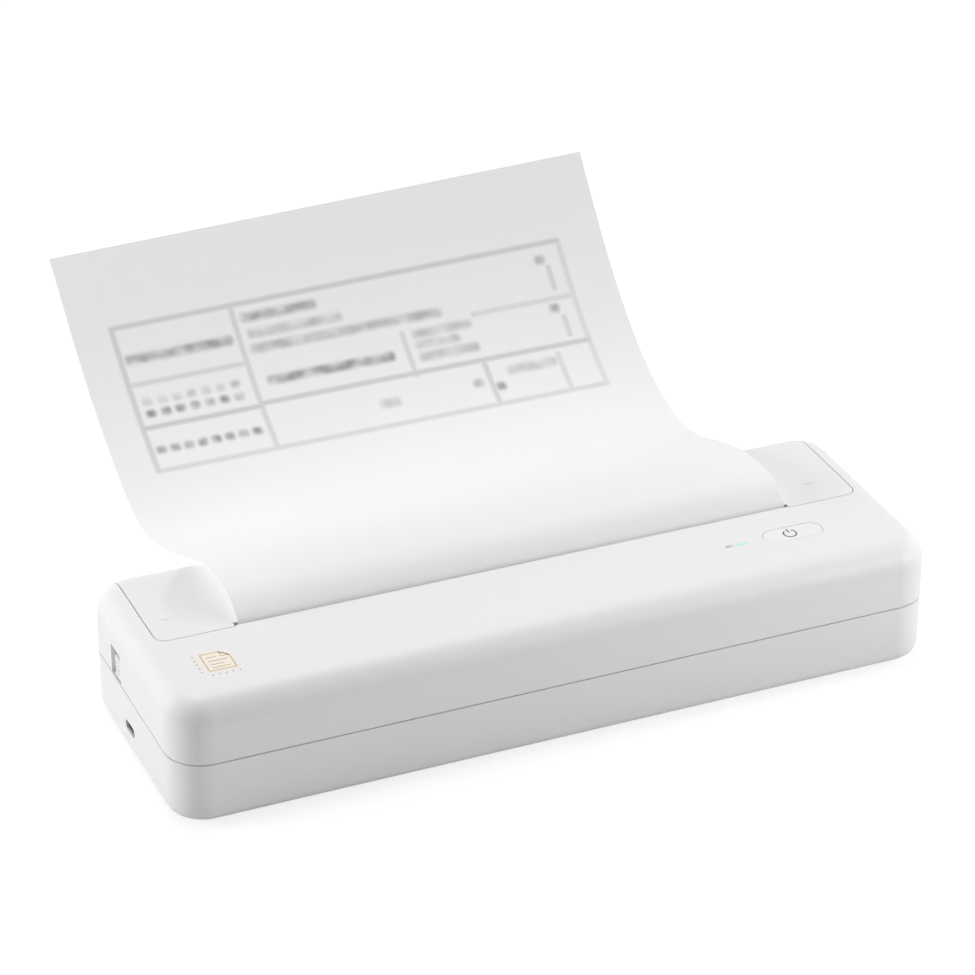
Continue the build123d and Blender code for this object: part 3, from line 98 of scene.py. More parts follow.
# ---- camera ----
CAMERA_AT = (-0.45508, -1.02355, 0.70496)
CAMERA_ACROSS = 23.458        # degrees to the right of straight ahead
CAMERA_DOWN = 29.250
CAMERA_ROLL = 0.313
CAMERA_LENS = 135.74
SENSOR_WIDTH = 36.0

# ---- light: each lamp's power, width and place ----
OVERHEAD = (11.2, 1.0, (0.0, 0.42, 1.42))
LEFT_END = (9.8, 0.5, (-1.22, 0.5, 0.38))
RIGHT_LOW = (13.0, 0.16, (2.35, 0.0, 0.98))
RIGHT_FRONT = (1.75, 0.3, (0.5, -0.45, 0.3))
LAMPS_FACE = (0.0, 0.0, 0.03)
WHITE = (1.0, 1.0, 1.0, 1.0)
SKY_STRENGTH = 0.22
FLOOR_HALF = 6.0
FLOOR_COLOUR = (0.85, 0.85, 0.85)
FLOOR_SEEN = (0.34, 0.34, 0.34)   # the part of the floor's light that keeps the shadow
FLOOR_WHITE = 0.76                # the white added to it


# ---- node helpers ----
def new_material(name, colour, roughness, metallic=0.0, sheen=0.5):
    """A material with its plain values on the shader. Sheen is its specular level."""
    material = bpy.data.materials.new(name)
    material.use_nodes = True
    shader = material.node_tree.nodes["Principled BSDF"]
    shader.inputs["Base Color"].default_value = (*colour, 1.0)
    shader.inputs["Roughness"].default_value = roughness
    shader.inputs["Metallic"].default_value = metallic
    shader.inputs["Specular IOR Level"].default_value = sheen
    return material, shader


def add_node(material, kind, inputs=None, **settings):
    """A node with its settings, and a number or another node's output on each named input."""
    made = material.node_tree.nodes.new(kind)
    for key, value in settings.items():
        setattr(made, key, value)
    for key, value in (inputs or {}).items():
        if isinstance(value, bpy.types.NodeSocket):
            material.node_tree.links.new(value, made.inputs[key])
        else:
            made.inputs[key].default_value = value
    return made


def link(material, output, socket):
    """Joins an output to a socket."""
    material.node_tree.links.new(output, socket)


def place_of(material, stretch=(1.0, 1.0, 1.0)):
    """Object coordinates, stretched along the axes."""
    place = add_node(material, "ShaderNodeTexCoord").outputs["Object"]
    mapping = add_node(material, "ShaderNodeMapping", {"Vector": place, "Scale": stretch})
    return mapping.outputs["Vector"]


def noise_of(material, place, scale, detail=2.0):
    """Soft noise with about scale features in each metre."""
    noise = add_node(material, "ShaderNodeTexNoise", {"Vector": place, "Scale": scale, "Detail": detail})
    return noise.outputs["Fac"]


def between(material, amount, low, high):
    """A value that runs from low to high as amount runs from dark to bright noise, or from 0 to 1."""
    dark, bright = NOISE_RANGE
    spread = add_node(material, "ShaderNodeMapRange",
                      {"Value": amount, "From Min": dark, "From Max": bright, "To Min": low, "To Max": high})
    return spread.outputs["Result"]


def calculate(material, operation, first, second, kind="ShaderNodeMath"):
    """One step of arithmetic on two values, or on two vectors with the vector kind of node."""
    return add_node(material, kind, {0: first, 1: second}, operation=operation).outputs[0]


def blend_colours(material, amount, first, second):
    """One colour where amount is 0 and the other where it is 1."""
    mix = add_node(material, "ShaderNodeMix", {"Factor": amount}, data_type="RGBA")
    for socket, value in ((mix.inputs["A"], first), (mix.inputs["B"], second)):
        if isinstance(value, bpy.types.NodeSocket):
            link(material, value, socket)
        else:
            socket.default_value = (*value, 1.0)
    return mix.outputs["Result"]


def colour_by(material, shader, amount, first, second):
    """Colours the surface by amount, from the first colour to the second."""
    link(material, blend_colours(material, amount, first, second), shader.inputs["Base Color"])


def gloss_by(material, shader, amount, smooth, rough):
    """Spreads the surface's roughness by amount."""
    link(material, between(material, amount, smooth, rough), shader.inputs["Roughness"])


def bump_of(material, shader, height, depth):
    """Relief of the given depth in metres."""
    bump = add_node(material, "ShaderNodeBump", {"Height": height, "Distance": depth, "Strength": 1.0})
    link(material, bump.outputs["Normal"], shader.inputs["Normal"])


def shade(colour, factor):
    """The same colour, darker or lighter."""
    return tuple(channel * factor for channel in colour)


# ---- finishes ----
def moulded(name, colour, roughness, grain=900.0, depth=0.02 * MM):
    """Moulded plastic: faint clouding, uneven satin and a fine spark-eroded grain."""
    material, shader = new_material(name, colour, roughness)
    place = place_of(material)
    colour_by(material, shader, noise_of(material, place, 14.0), colour, shade(colour, 0.985))
    gloss_by(material, shader, noise_of(material, place, 60.0), roughness - 0.04, roughness + 0.04)
    bump_of(material, shader, noise_of(material, place, grain, 3.0), depth)
    return material


def metal(name, colour, roughness, stretch=(1.0, 1.0, 1.0)):
    """Bare metal with fine marks drawn out along one direction."""
    material, shader = new_material(name, colour, roughness, metallic=1.0)
    marks = noise_of(material, place_of(material, stretch), 900.0, 4.0)
    colour_by(material, shader, marks, shade(colour, 0.9), colour)
    gloss_by(material, shader, marks, roughness - 0.07, roughness + 0.1)
    bump_of(material, shader, marks, 0.006 * MM)
    return material


def rubber(name, colour, grain=700.0):
    """Ground rubber: matt, with a fine open grain."""
    material, shader = new_material(name, colour, 0.8, sheen=LOW_SHEEN)
    grains = noise_of(material, place_of(material), grain, 5.0)
    colour_by(material, shader, grains, shade(colour, 0.8), shade(colour, 1.25))
    bump_of(material, shader, grains, 0.06 * MM)
    return material


def plain_card():
    """Brown card: pale fibres drawn out along the tube."""
    colour = (0.36, 0.22, 0.11)
    material, shader = new_material("plain_card", colour, 0.75, sheen=LOW_SHEEN)
    fibres = noise_of(material, place_of(material, (0.3, 1.0, 1.0)), 800.0, 4.0)
    colour_by(material, shader, fibres, shade(colour, 0.8), colour)
    bump_of(material, shader, fibres, 0.03 * MM)
    return material


def wound_paper():
    """The roll: fine rings on its ends where the turns show, and smooth round its side."""
    colour = (0.86, 0.86, 0.85)
    material, shader = new_material("wound_paper", colour, 0.6, sheen=LOW_SHEEN)
    low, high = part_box("paper_roll")
    place = add_node(material, "ShaderNodeTexCoord").outputs["Object"]
    from_axis = calculate(material, "SUBTRACT", place, (low + high) / 2, "ShaderNodeVectorMath")
    flat = calculate(material, "MULTIPLY", from_axis, (0.0, 1.0, 1.0), "ShaderNodeVectorMath")
    radius = add_node(material, "ShaderNodeVectorMath", {0: flat}, operation="LENGTH")
    turns = calculate(material, "MULTIPLY", radius.outputs["Value"], ROLL_TURNS)
    layer = add_node(material, "ShaderNodeTexNoise", {"W": turns, "Scale": 2.0, "Detail": 3.0},
                     noise_dimensions="1D")
    colour_by(material, shader, layer.outputs["Fac"], shade(colour, 0.86), colour)
    bump_of(material, shader, layer.outputs["Fac"], 0.04 * MM)
    return material


def circuit_board():
    """Green solder mask with fine tracks that run along the board and across it."""
    mask, track = (0.015, 0.10, 0.04), (0.03, 0.17, 0.07)
    material, shader = new_material("circuit_board", mask, 0.35)
    tracks = add_node(material, "ShaderNodeTexBrick",
                      {"Vector": place_of(material), "Scale": 260.0, "Color1": (0, 0, 0, 1),
                       "Color2": (0, 0, 0, 1), "Mortar": (1, 1, 1, 1), "Mortar Size": 0.05,
                       "Brick Width": 1.6, "Row Height": 0.45})
    colour_by(material, shader, tracks.outputs["Color"], mask, track)
    bump_of(material, shader, tracks.outputs["Color"], 0.03 * MM)
    return material


def striped(name, ground, stripe, roughness, stripes, depth):
    """Fine stripes side by side along X, slightly raised."""
    material, shader = new_material(name, ground, roughness)
    wave = add_node(material, "ShaderNodeTexWave", {"Vector": place_of(material), "Scale": stripes},
                    wave_type="BANDS", bands_direction="X")
    colour_by(material, shader, wave.outputs["Fac"], ground, stripe)
    bump_of(material, shader, wave.outputs["Fac"], depth)
    return material


def striped_film():
    """Flat cable: pale film over rows of copper strips."""
    return striped("striped_film", (0.78, 0.70, 0.50), (0.55, 0.36, 0.17), 0.3, 300.0, 0.03 * MM)


def ribbed_glaze():
    """Thermal head: dark glaze with a faint lengthwise sheen of heater leads."""
    return striped("ribbed_glaze", (0.035, 0.028, 0.025), (0.10, 0.07, 0.04), 0.18, 600.0, 0.01 * MM)


def cell_wrap():
    """Shrunk plastic sleeve on the cells, plain blue, with slight wrinkles round each cell."""
    colour = (0.03, 0.12, 0.34)
    material, shader = new_material("cell_wrap", colour, 0.28)
    wrinkles = noise_of(material, place_of(material, (8.0, 1.0, 1.0)), 60.0, 3.0)
    colour_by(material, shader, wrinkles, shade(colour, 0.8), shade(colour, 1.2))
    bump_of(material, shader, wrinkles, 0.1 * MM)
    return material


def lit_lens():
    """Pale green light pipe with its lamp on, a little uneven as light in clear plastic is."""
    colour = (0.55, 0.84, 0.73)
    material, shader = new_material("lit_lens", colour, 0.3)
    glow = noise_of(material, place_of(material), 400.0)
    colour_by(material, shader, glow, colour, (0.62, 0.88, 0.79))
    bump_of(material, shader, glow, 0.02 * MM)
    return material


def printed_ink(name, colour):
    """Pad-printed ink: slightly uneven cover."""
    material, shader = new_material(name, colour, 0.5)
    uneven = noise_of(material, place_of(material), 2500.0, 3.0)
    colour_by(material, shader, uneven, colour, shade(colour, 1.15))
    bump_of(material, shader, uneven, 0.01 * MM)
    return material


# ---- the printed page ----
def soft_box_group():
    """Node group: a grey patch round a centre, full within its half size and fading out beyond it."""
    group = bpy.data.node_groups.new("soft_box", "ShaderNodeTree")
    for name in ("Place", "Centre", "Half"):
        group.interface.new_socket(name, in_out="INPUT", socket_type="NodeSocketVector")
    for name in ("Softness", "Shade"):
        group.interface.new_socket(name, in_out="INPUT", socket_type="NodeSocketFloat")
    group.interface.new_socket("Ink", in_out="OUTPUT", socket_type="NodeSocketFloat")
    nodes = group.nodes
    source = nodes.new("NodeGroupInput")
    result = nodes.new("NodeGroupOutput")
    steps = []
    for operation in ("SUBTRACT", "ABSOLUTE", "SUBTRACT", "MAXIMUM", "LENGTH"):
        steps.append(nodes.new("ShaderNodeVectorMath"))
        steps[-1].operation = operation
    offset, folded, outside, beyond, away = steps
    fade = nodes.new("ShaderNodeMapRange")
    fade.interpolation_type = "SMOOTHSTEP"
    fade.inputs["From Max"].default_value = 0.0
    fade.inputs["To Min"].default_value = 0.0
    for output, socket in ((source.outputs["Place"], offset.inputs[0]),
                           (source.outputs["Centre"], offset.inputs[1]),
                           (offset.outputs[0], folded.inputs[0]),
                           (folded.outputs[0], outside.inputs[0]),
                           (source.outputs["Half"], outside.inputs[1]),
                           (outside.outputs[0], beyond.inputs[0]),
                           (beyond.outputs[0], away.inputs[0]),
                           (away.outputs["Value"], fade.inputs["Value"]),
                           (source.outputs["Softness"], fade.inputs["From Min"]),
                           (source.outputs["Shade"], fade.inputs["To Max"]),
                           (fade.outputs[0], result.inputs["Ink"])):
        group.links.new(output, socket)
    return group


def ruled_lines():
    """Lines of a plain form, as (left, right, top, bottom, softness, strength).

    Places are millimetres from the page's left edge and from its top edge."""
    left, right, top, bottom = 15.0, 192.0, 33.0, 96.0
    column, first, second = 61.0, 57.5, 76.5
    line, soft = 0.25, 1.6
    rows = [(left, right, top, 0.28), (left, right, bottom, 0.22), (left, column, first, 0.22),
            (left, column, second, 0.32), (column, right, second - 1, 0.30),
            (column + 90, right, 56, 0.19)]
    columns = [(left, top, bottom, 0.28), (column, top, bottom, 0.24), (right, top, bottom, 0.18),
               (122.0, 58, second, 0.22), (149.0, second, 95, 0.27), (178.0, 79, 95, 0.20),
               (185.5, 43, 52, 0.23), (185.5, 64, 72, 0.22)]
    return ([(x0, x1, y - line, y + line, soft, strength) for x0, x1, y, strength in rows]
            + [(x - line, x + line, y0, y1, soft, strength) for x, y0, y1, strength in columns])


def grey_bars():
    """Blurred bars and dots in the form's boxes, measured as the lines are."""
    marks = []
    for left, right, y, strength in ((18, 57, 47, 0.68), (65, 92, 39, 0.64), (66, 100, 46, 0.46),
                                     (65, 138, 52.3, 0.50), (68, 115, 66.5, 0.76),
                                     (127, 148, 59.5, 0.42), (127, 142, 64, 0.40),
                                     (127, 148, 69.3, 0.42), (158, 175, 82, 0.42), (106, 111, 86, 0.42)):
        marks.append((left, right, y - 0.4, y + 0.4, 3.0, strength))
    for y, count, left, right, strength in ((65.3, 7, 20, 54, 0.44), (70.6, 7, 20, 54, 0.74),
                                            (86.8, 8, 19, 56, 0.80)):
        for i in range(count):
            x = left + (right - left) * i / (count - 1)
            marks.append((x - 0.5, x + 0.5, y - 0.3, y + 0.3, 2.6, strength))
    for x, y in ((183, 39.5), (183, 60), (144, 85), (152, 88)):
        marks.append((x - 0.5, x + 0.5, y - 0.3, y + 0.3, 2.8, 0.76))
    return marks


def ink_of(material, page, group, marks):
    """The strongest ink of all the patches at each place on the page."""
    ink = None
    for left, right, top, bottom, soft, strength in marks:
        patch = add_node(material, "ShaderNodeGroup", node_tree=group)
        link(material, page, patch.inputs["Place"])
        patch.inputs["Centre"].default_value = ((left + right) / 2 * MM, -(top + bottom) / 2 * MM, 0.0)
        patch.inputs["Half"].default_value = ((right - left) / 2 * MM, (bottom - top) / 2 * MM, 0.0)
        patch.inputs["Softness"].default_value = soft * MM
        patch.inputs["Shade"].default_value = strength
        here = patch.outputs["Ink"]
        ink = here if ink is None else calculate(material, "MAXIMUM", ink, here)
    return ink


def thin_paper(name):
    """Smooth thermal paper that glows a little with the light behind it.

    Gives the material, its shader and the colour of the bare sheet, which is still to be linked."""
    material, shader = new_material(name, PAPER_WHITE, 0.55, sheen=LOW_SHEEN)
    shader.inputs["Subsurface Weight"].default_value = PAPER_GLOW
    shader.inputs["Subsurface Radius"].default_value = (1.0, 1.0, 1.0)
    shader.inputs["Subsurface Scale"].default_value = PAPER_GLOW_REACH
    fibres = noise_of(material, place_of(material), 700.0, 4.0)
    bump_of(material, shader, fibres, 0.008 * MM)
    return material, shader, blend_colours(material, fibres, shade(PAPER_WHITE, 0.99), PAPER_WHITE)


def printed_paper():
    """Thin paper with a plain form printed on it, soft at every edge."""
    material, shader, sheet = thin_paper("printed_paper")
    group = soft_box_group()
    page = add_node(material, "ShaderNodeUVMap", uv_map="page").outputs["UV"]
    lines = ink_of(material, page, group, ruled_lines())
    uneven = between(material, noise_of(material, page, 150.0, 1.0), 0.35, 1.0)
    bars = calculate(material, "MULTIPLY", ink_of(material, page, group, grey_bars()), uneven)
    ink = calculate(material, "MAXIMUM", lines, bars)
    colour_by(material, shader, ink, sheet, INK)
    return material


def plain_paper():
    """The same paper without print: the page's back and rim, and the web inside."""
    material, shader, sheet = thin_paper("plain_paper")
    link(material, sheet, shader.inputs["Base Color"])
    return material


def smooth_line(points, count):
    """Points evenly spaced along a natural cubic curve through the given ones, with its whole length."""
    points = np.array(points, float)
    knots = np.concatenate(([0.0], np.cumsum(np.hypot(*np.diff(points, axis=0).T))))
    steps = np.diff(knots)[:, None]
    slopes = np.diff(points, axis=0) / steps
    size = len(points)
    system = np.eye(size)
    for i in range(1, size - 1):
        system[i, i - 1:i + 2] = steps[i - 1, 0], 2 * (steps[i - 1, 0] + steps[i, 0]), steps[i, 0]
    target = np.zeros_like(points)
    target[1:-1] = 6 * np.diff(slopes, axis=0)
    bends = np.linalg.solve(system, target)
    fine = np.linspace(0.0, knots[-1], 40 * size)
    cell = np.clip(np.searchsorted(knots, fine) - 1, 0, size - 2)
    gap, along = steps[cell], (fine - knots[cell])[:, None]
    first, last = bends[cell], bends[cell + 1]
    line = (points[cell] + along * (slopes[cell] - gap * (2 * first + last) / 6) + along ** 2 * first / 2
            + along ** 3 * (last - first) / (6 * gap))
    run = np.concatenate(([0.0], np.cumsum(np.hypot(*np.diff(line, axis=0).T))))
    places = np.linspace(0.0, run[-1], count)
    return np.array([np.interp(places, run, line[:, axis]) for axis in (0, 1)]).T, run[-1]


def loose_page(paper):
    """The printed page from the slot to its free end, ruled between its two edges. Its back is plain."""
    foot = [(WEB_Y, PAGE_FOOT), (WEB_Y, PAGE_RISE)]
    edges = []
    for edge in (LEFT_EDGE, RIGHT_EDGE):
        bends = [(WEB_Y + back * MM, TOP_Z + up * MM) for back, up in edge]
        edges.append(smooth_line(foot + bends, PAGE_ROWS + 1))
    mesh = bmesh.new()
    bmesh.ops.create_grid(mesh, x_segments=PAGE_COLUMNS, y_segments=PAGE_ROWS, size=0.5)
    page_map = mesh.loops.layers.uv.new("page")
    below_top = {}
    (left, left_length), (right, right_length) = edges
    for vert in mesh.verts:
        across = vert.co.x + 0.5
        row = round((vert.co.y + 0.5) * PAGE_ROWS)
        y, z = left[row] * (1 - across) + right[row] * across
        length = left_length * (1 - across) + right_length * across
        below_top[vert] = (across * 2 * PAPER_HALF, -length * (1 - row / PAGE_ROWS))
        vert.co = ((2 * across - 1) * PAPER_HALF, y, z)
    for face in mesh.faces:
        for loop in face.loops:
            loop[page_map].uv = below_top[loop.vert]
    page = new_piece("page", mesh, printed_paper())
    page.data.materials.append(paper)
    thickness = thicken(page, PAPER_T)
    thickness.material_offset = 1
    thickness.material_offset_rim = 1
    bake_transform(page)
    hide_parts("paper_page")
    return page


def paper_web(paper):
    """The same paper inside the case: off the roll, round the platen and up to the slot."""
    roll_low, roll_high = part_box("paper_roll")
    platen_low, platen_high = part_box("platen_rubber")
    roll, platen = (roll_low + roll_high) / 2, (platen_low + platen_high) / 2
    roll_reach, platen_reach = (radius + CLEAR + DRAWN_T / 2 for radius in (ROLL_R, PLATEN_R))
    dy, dz = platen.y - roll.y, platen.z - roll.z
    away = atan2(dz, dy) + acos((roll_reach - platen_reach) / hypot(dy, dz))
    path = [(roll.y + roll_reach * cos(away), roll.z + roll_reach * sin(away))]
    turn = (pi - away) % (2 * pi)
    for step in range(WEB_STEPS + 1):
        angle = away + turn * step / WEB_STEPS
        path.append((platen.y + platen_reach * cos(angle), platen.z + platen_reach * sin(angle)))
    path.append((WEB_Y, PAGE_FOOT))
    mesh = bmesh.new()
    chain = [mesh.verts.new((-PAPER_HALF, y, z)) for y, z in path]
    straight_run = [mesh.edges.new(pair) for pair in zip(chain, chain[1:])][0]
    bmesh.ops.subdivide_edges(mesh, edges=[straight_run], cuts=WEB_CUTS)
    swept = bmesh.ops.extrude_edge_only(mesh, edges=mesh.edges[:])
    moved = [item for item in swept["geom"] if isinstance(item, bmesh.types.BMVert)]
    bmesh.ops.translate(mesh, verts=moved, vec=(2 * PAPER_HALF, 0.0, 0.0))
    bmesh.ops.recalc_face_normals(mesh, faces=mesh.faces)
    web = new_piece("paper_web", mesh, paper)
    thicken(web, PAPER_T)
    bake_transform(web)
    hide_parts("paper_page")
    return web


# ---- piece helpers ----
def new_piece(name, mesh, material, smooth=True):
    """An object at the origin from a finished bmesh.

    The rim of an open sheet is marked sharp, so that it stays so when the sheet gets its thickness."""
    for edge in mesh.edges:
        edge.smooth = not edge.is_boundary
    data = bpy.data.meshes.new(name)
    mesh.to_mesh(data)
    mesh.free()
    data.materials.append(material)
    for face in data.polygons:
        face.use_smooth = smooth
    piece = bpy.data.objects.new(name, data)
    bpy.context.scene.collection.objects.link(piece)
    return piece


def thicken(piece, thickness):
    """Even thickness about the middle of a sheet."""
    solidify = piece.modifiers.new("thickness", "SOLIDIFY")
    solidify.thickness = thickness
    solidify.offset = 0.0
    solidify.use_even_offset = True
    return solidify


# ---- printed marks ----
def outline(mesh, corners, width):
    """A closed line of even width just inside the given corners."""
    face = filled(mesh, corners)
    mesh.normal_update()
    bmesh.ops.inset_individual(mesh, faces=[face], thickness=width * MM, use_even_offset=True)
    bmesh.ops.delete(mesh, geom=[face], context="FACES_ONLY")


def filled(mesh, corners):
    """A flat face from its corners in millimetres."""
    return mesh.faces.new([mesh.verts.new((x * MM, y * MM, 0.0)) for x, y in corners])


def bar(mesh, x0, x1, y0, y1):
    """A filled bar."""
    filled(mesh, ((x0, y0), (x1, y0), (x1, y1), (x0, y1)))


def arc_line(mesh, radius, width, start, sweep, steps):
    """An open ring of even width, from start through sweep, in degrees."""
    inner, outer = (radius - width / 2) * MM, (radius + width / 2) * MM
    direction = Vector((cos(radians(start)), sin(radians(start)), 0.0))
    edge = mesh.edges.new([mesh.verts.new(direction * reach) for reach in (inner, outer)])
    bmesh.ops.spin(mesh, geom=[*edge.verts, edge], cent=(0, 0, 0), axis=(0, 0, 1), angle=radians(sweep),
                   steps=steps, use_merge=False)


def print_mark(name, mesh, centre, material, body, z=TOP_Z):
    """Raises flat shapes by the thickness of ink and puts them on the case."""
    bmesh.ops.recalc_face_normals(mesh, faces=mesh.faces)
    for face in mesh.faces:
        if face.normal.z < 0:
            face.normal_flip()
    bmesh.ops.solidify(mesh, geom=mesh.faces[:], thickness=-PRINT_T)
    bmesh.ops.recalc_face_normals(mesh, faces=mesh.faces)
    low = min(vert.co.z for vert in mesh.verts)
    bmesh.ops.translate(mesh, verts=mesh.verts, vec=(centre[0] * MM, centre[1] * MM, z - low))
    piece = new_piece(name, mesh, material, smooth=False)
    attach(piece, body)


def power_mark():
    """Generic power symbol on the button: a ring open at the back with a short bar."""
    mesh = bmesh.new()
    opening = 64
    arc_line(mesh, 2.35, 0.5, 90 + opening / 2, 360 - opening, 40)
    bar(mesh, -0.25, 0.25, 0.7, 3.2)
    button = sum(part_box("power_button"), Vector()) / 2
    centre = (button.x / MM - POWER_MARK_LEFT, button.y / MM)
    ink = printed_ink("ink_grey", (0.06, 0.06, 0.06))
    print_mark("power_mark", mesh, centre, ink, "button")


def battery_mark():
    """Small generic battery outline beside the lamp."""
    mesh = bmesh.new()
    outline(mesh, ((-1.3, -0.65), (1.3, -0.65), (1.3, 0.65), (-1.3, 0.65)), 0.25)
    bar(mesh, 1.35, 1.65, -0.3, 0.3)
    bar(mesh, -0.9, 0.2, -0.3, 0.3)
    lens = sum(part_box("led_lens"), Vector()) / 2
    centre = (lens.x / MM - BATTERY_MARK_LEFT, lens.y / MM)
    ink = printed_ink("ink_pale_grey", (0.42, 0.42, 0.42))
    print_mark("battery_mark", mesh, centre, ink, "casing")


def sheet_mark():
    """Small generic picture: a sheet with a turned corner on a pale ground, and dots beside it."""
    ground = bmesh.new()
    bar(ground, -5.8, 5.4, -6.3, 5.9)
    peach = printed_ink("ink_pale_peach", (0.84, 0.78, 0.70))
    print_mark("sheet_mark_ground", ground, SHEET_MARK_AT, peach, "casing")
    mesh = bmesh.new()
    outline(mesh, ((-5.2, -5.7), (4.8, -5.7), (4.8, 2.5), (1.8, 5.5), (-5.2, 5.5)), 0.45)
    outline(mesh, ((1.6, 5.6), (1.6, 2.2), (4.9, 2.2)), 0.4)
    for y, left, right in ((2.8, -3.6, 0.0), (0.4, -3.6, 3.2), (-1.8, -3.6, 1.6), (-3.8, -3.6, 3.2)):
        bar(mesh, left, right, y - 0.22, y + 0.22)
    for step in range(5):
        bar(mesh, -8.0, -7.4, 4.6 - step * 2.5, 5.2 - step * 2.5)
        bar(mesh, -5.0 + step * 2.4, -4.4 + step * 2.4, -8.4, -7.8)
    tan = printed_ink("ink_tan", (0.56, 0.42, 0.25))
    print_mark("sheet_mark", mesh, SHEET_MARK_AT, tan, "casing", TOP_Z + PRINT_T)


def cover_marks():
    """A faint small grey arrow in thin ink at each end of the cover."""
    for side, centre in COVER_MARKS_AT:
        mesh = bmesh.new()
        bar(mesh, -2.2, 2.2, -0.3, 0.3)
        filled(mesh, ((-0.9, -0.5), (0.9, -0.5), (0.0, -1.6)))
        ink = printed_ink("ink_faint_" + side, (0.66, 0.66, 0.66))
        print_mark("cover_mark_" + side, mesh, centre, ink, "cover", COVER_TOP)


# ---- finishes on the parts ----
def paint(material, *names):
    """Gives the named parts a finish."""
    for name in names:
        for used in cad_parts[name].material_slots:
            used.material = material


def paint_parts():
    """Every part's own finish."""
    white = (0.83, 0.83, 0.83)
    paint(moulded("case_white", white, 0.42), "lower_case", "upper_case")
    paint(moulded("cover_white", white, 0.42), "top_cover")
    paint(moulded("button_white", (0.85, 0.85, 0.85), 0.3, depth=0.008 * MM), "power_button")
    paint(moulded("slider_white", white, 0.45), "release_slider")
    paint(moulded("deck_pale_grey", (0.62, 0.62, 0.62), 0.5), "end_decks")
    paint(moulded("guide_grey", (0.05, 0.05, 0.055), 0.5), "roll_guides")
    paint(moulded("tray_grey", (0.55, 0.55, 0.55), 0.5), "paper_tray")
    paint(moulded("bush_cream", (0.70, 0.64, 0.46), 0.45), "platen_bushes", "idler_washers")
    paint(moulded("gear_white", (0.78, 0.78, 0.74), 0.4), "platen_gear", "idler_gear")
    paint(moulded("chip_black", (0.02, 0.02, 0.02), 0.5, grain=2500.0), "board_chips", "tact_switch",
          "paper_sensor")
    paint(rubber("foot_grey", (0.06, 0.06, 0.06)), "rubber_feet")
    paint(rubber("platen_black", (0.03, 0.03, 0.033), 500.0), "platen_rubber")
    paint(metal("turned_steel", (0.55, 0.55, 0.56), 0.28, (0.05, 1.0, 1.0)), "platen_shaft", "hinge_pins",
          "idler_axle", "head_pivot_pins", "case_screws", "frame_screws", "board_screws", "motor_screws",
          "tear_bar")
    paint(metal("zinc_sheet", (0.60, 0.60, 0.57), 0.4), "side_plates", "gear_plate", "spring_rail")
    paint(metal("drawn_can", (0.52, 0.52, 0.50), 0.33, (0.06, 1.0, 1.0)), "stepper_motor")
    paint(metal("bright_wire", (0.55, 0.55, 0.55), 0.22), "head_springs", "slider_spring")
    paint(metal("plated_shell", (0.62, 0.62, 0.63), 0.25), "usb_c_socket")
    paint(metal("cut_brass", (0.72, 0.50, 0.20), 0.3), "motor_pinion")
    paint(metal("plain_aluminium", (0.72, 0.73, 0.75), 0.36, (0.03, 1.0, 1.0)), "head_heat_sink")
    paint(wound_paper(), "paper_roll")
    paint(plain_card(), "roll_core")
    paint(ribbed_glaze(), "thermal_head")
    paint(circuit_board(), "main_board", "top_board")
    paint(striped_film(), "ribbon_cable")
    paint(cell_wrap(), "battery_pack")
    paint(lit_lens(), "led_lens")


# ---- studio ----
def studio_floor():
    """White floor that keeps a light shadow of the printer; only the camera sees its added white."""
    material, shader = new_material("studio_floor", FLOOR_COLOUR, 0.9, sheen=0.0)
    seen = add_node(material, "ShaderNodeLightPath").outputs["Is Camera Ray"]
    colour_by(material, shader, seen, FLOOR_COLOUR, FLOOR_SEEN)
    shader.inputs["Emission Color"].default_value = WHITE
    link(material, between(material, seen, 0.0, FLOOR_WHITE), shader.inputs["Emission Strength"])
    mesh = bmesh.new()
    bmesh.ops.create_grid(mesh, x_segments=8, y_segments=8, size=FLOOR_HALF)
    floor = new_piece("studio_floor", mesh, material)


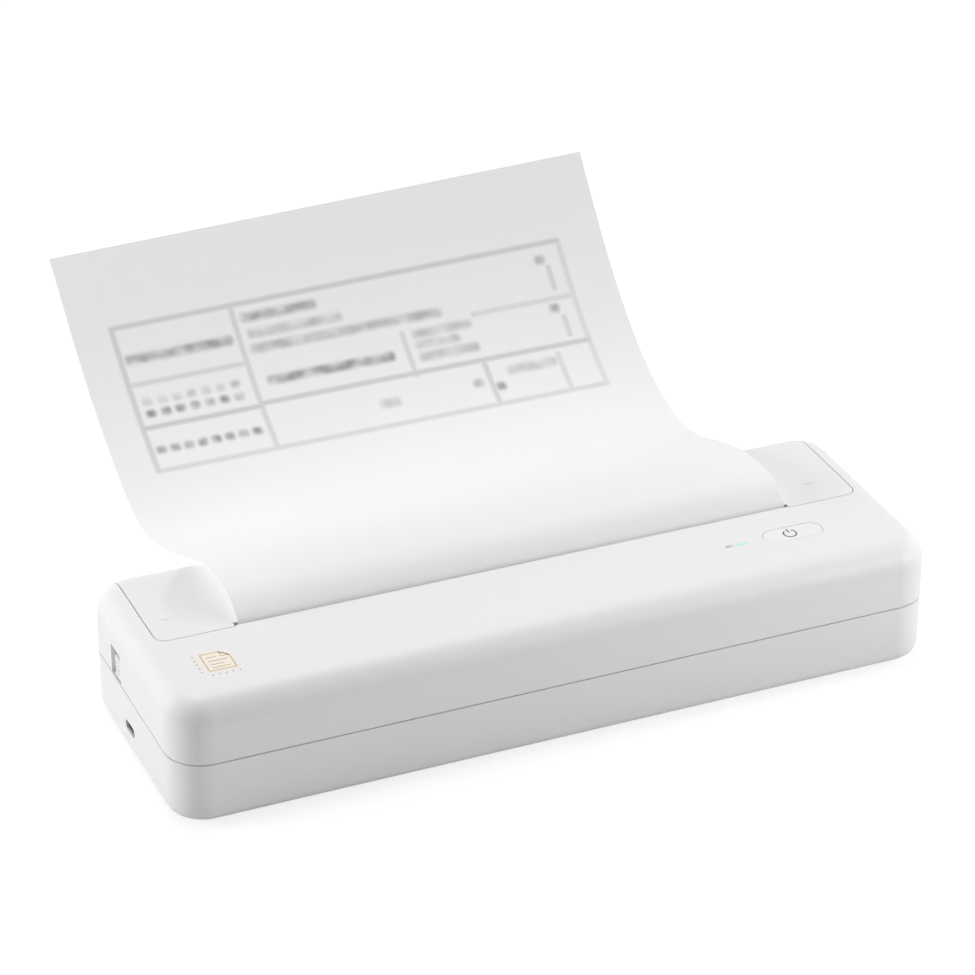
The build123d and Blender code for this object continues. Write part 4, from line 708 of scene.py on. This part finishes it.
def soft_lamp(name, lamp_values, shine=True):
    """A square soft box that faces the printer; without shine it leaves no highlight of its own."""
    watts, width, place = lamp_values
    lamp = bpy.data.lights.new(name, "AREA")
    lamp.energy = watts
    lamp.shape = "SQUARE"
    lamp.size = width
    holder = bpy.data.objects.new(name, lamp)
    holder.location = place
    holder.rotation_euler = (Vector(LAMPS_FACE) - Vector(place)).to_track_quat("-Z", "Y").to_euler()
    holder.visible_glossy = shine
    bpy.context.scene.collection.objects.link(holder)
    return holder


def pass_through(lamp, piece):
    """The lamp's light goes through the thin paper instead of stopping at it."""
    thin = bpy.data.collections.new(lamp.name + "_passes")
    thin.objects.link(piece)
    thin.collection_objects[0].light_linking.link_state = "EXCLUDE"
    lamp.light_linking.blocker_collection = thin


def studio_light():
    """Even sky that looks white past the floor, a wide lamp overhead, one beyond each end, one in front."""
    world = bpy.data.worlds.new("studio")
    bpy.context.scene.world = world
    world.use_nodes = True
    sky = world.node_tree.nodes["Background"]
    sky.inputs["Color"].default_value = WHITE
    path = add_node(world, "ShaderNodeLightPath")
    seen = calculate(world, "MAXIMUM", path.outputs["Is Camera Ray"], path.outputs["Is Glossy Ray"])
    strength = add_node(world, "ShaderNodeMapRange", {"Value": seen, "To Min": SKY_STRENGTH, "To Max": 1.0})
    link(world, strength.outputs["Result"], sky.inputs["Strength"])
    overhead = soft_lamp("overhead", OVERHEAD)
    soft_lamp("left_end", LEFT_END, shine=False)
    soft_lamp("right_low", RIGHT_LOW, shine=False)
    soft_lamp("right_front", RIGHT_FRONT)
    return overhead


def camera():
    """The printer from its front left, from above."""
    data = bpy.data.cameras.new("camera")
    data.lens = CAMERA_LENS
    data.sensor_width = SENSOR_WIDTH
    holder = bpy.data.objects.new("camera", data)
    across = Matrix.Rotation(radians(-CAMERA_ACROSS), 4, "Z")
    down = Matrix.Rotation(radians(90 - CAMERA_DOWN), 4, "X")
    roll = Matrix.Rotation(radians(CAMERA_ROLL), 4, "Z")
    holder.matrix_world = Matrix.Translation(CAMERA_AT) @ (across @ down) @ roll
    bpy.context.scene.collection.objects.link(holder)
    bpy.context.scene.camera = holder


camera()
studio_floor()
overhead = studio_light()
bpy.context.scene.view_settings.view_transform = "Standard"
paint_parts()
paper = plain_paper()
pass_through(overhead, loose_page(paper))
paper_web(paper)
power_mark()
battery_mark()
sheet_mark()
cover_marks()
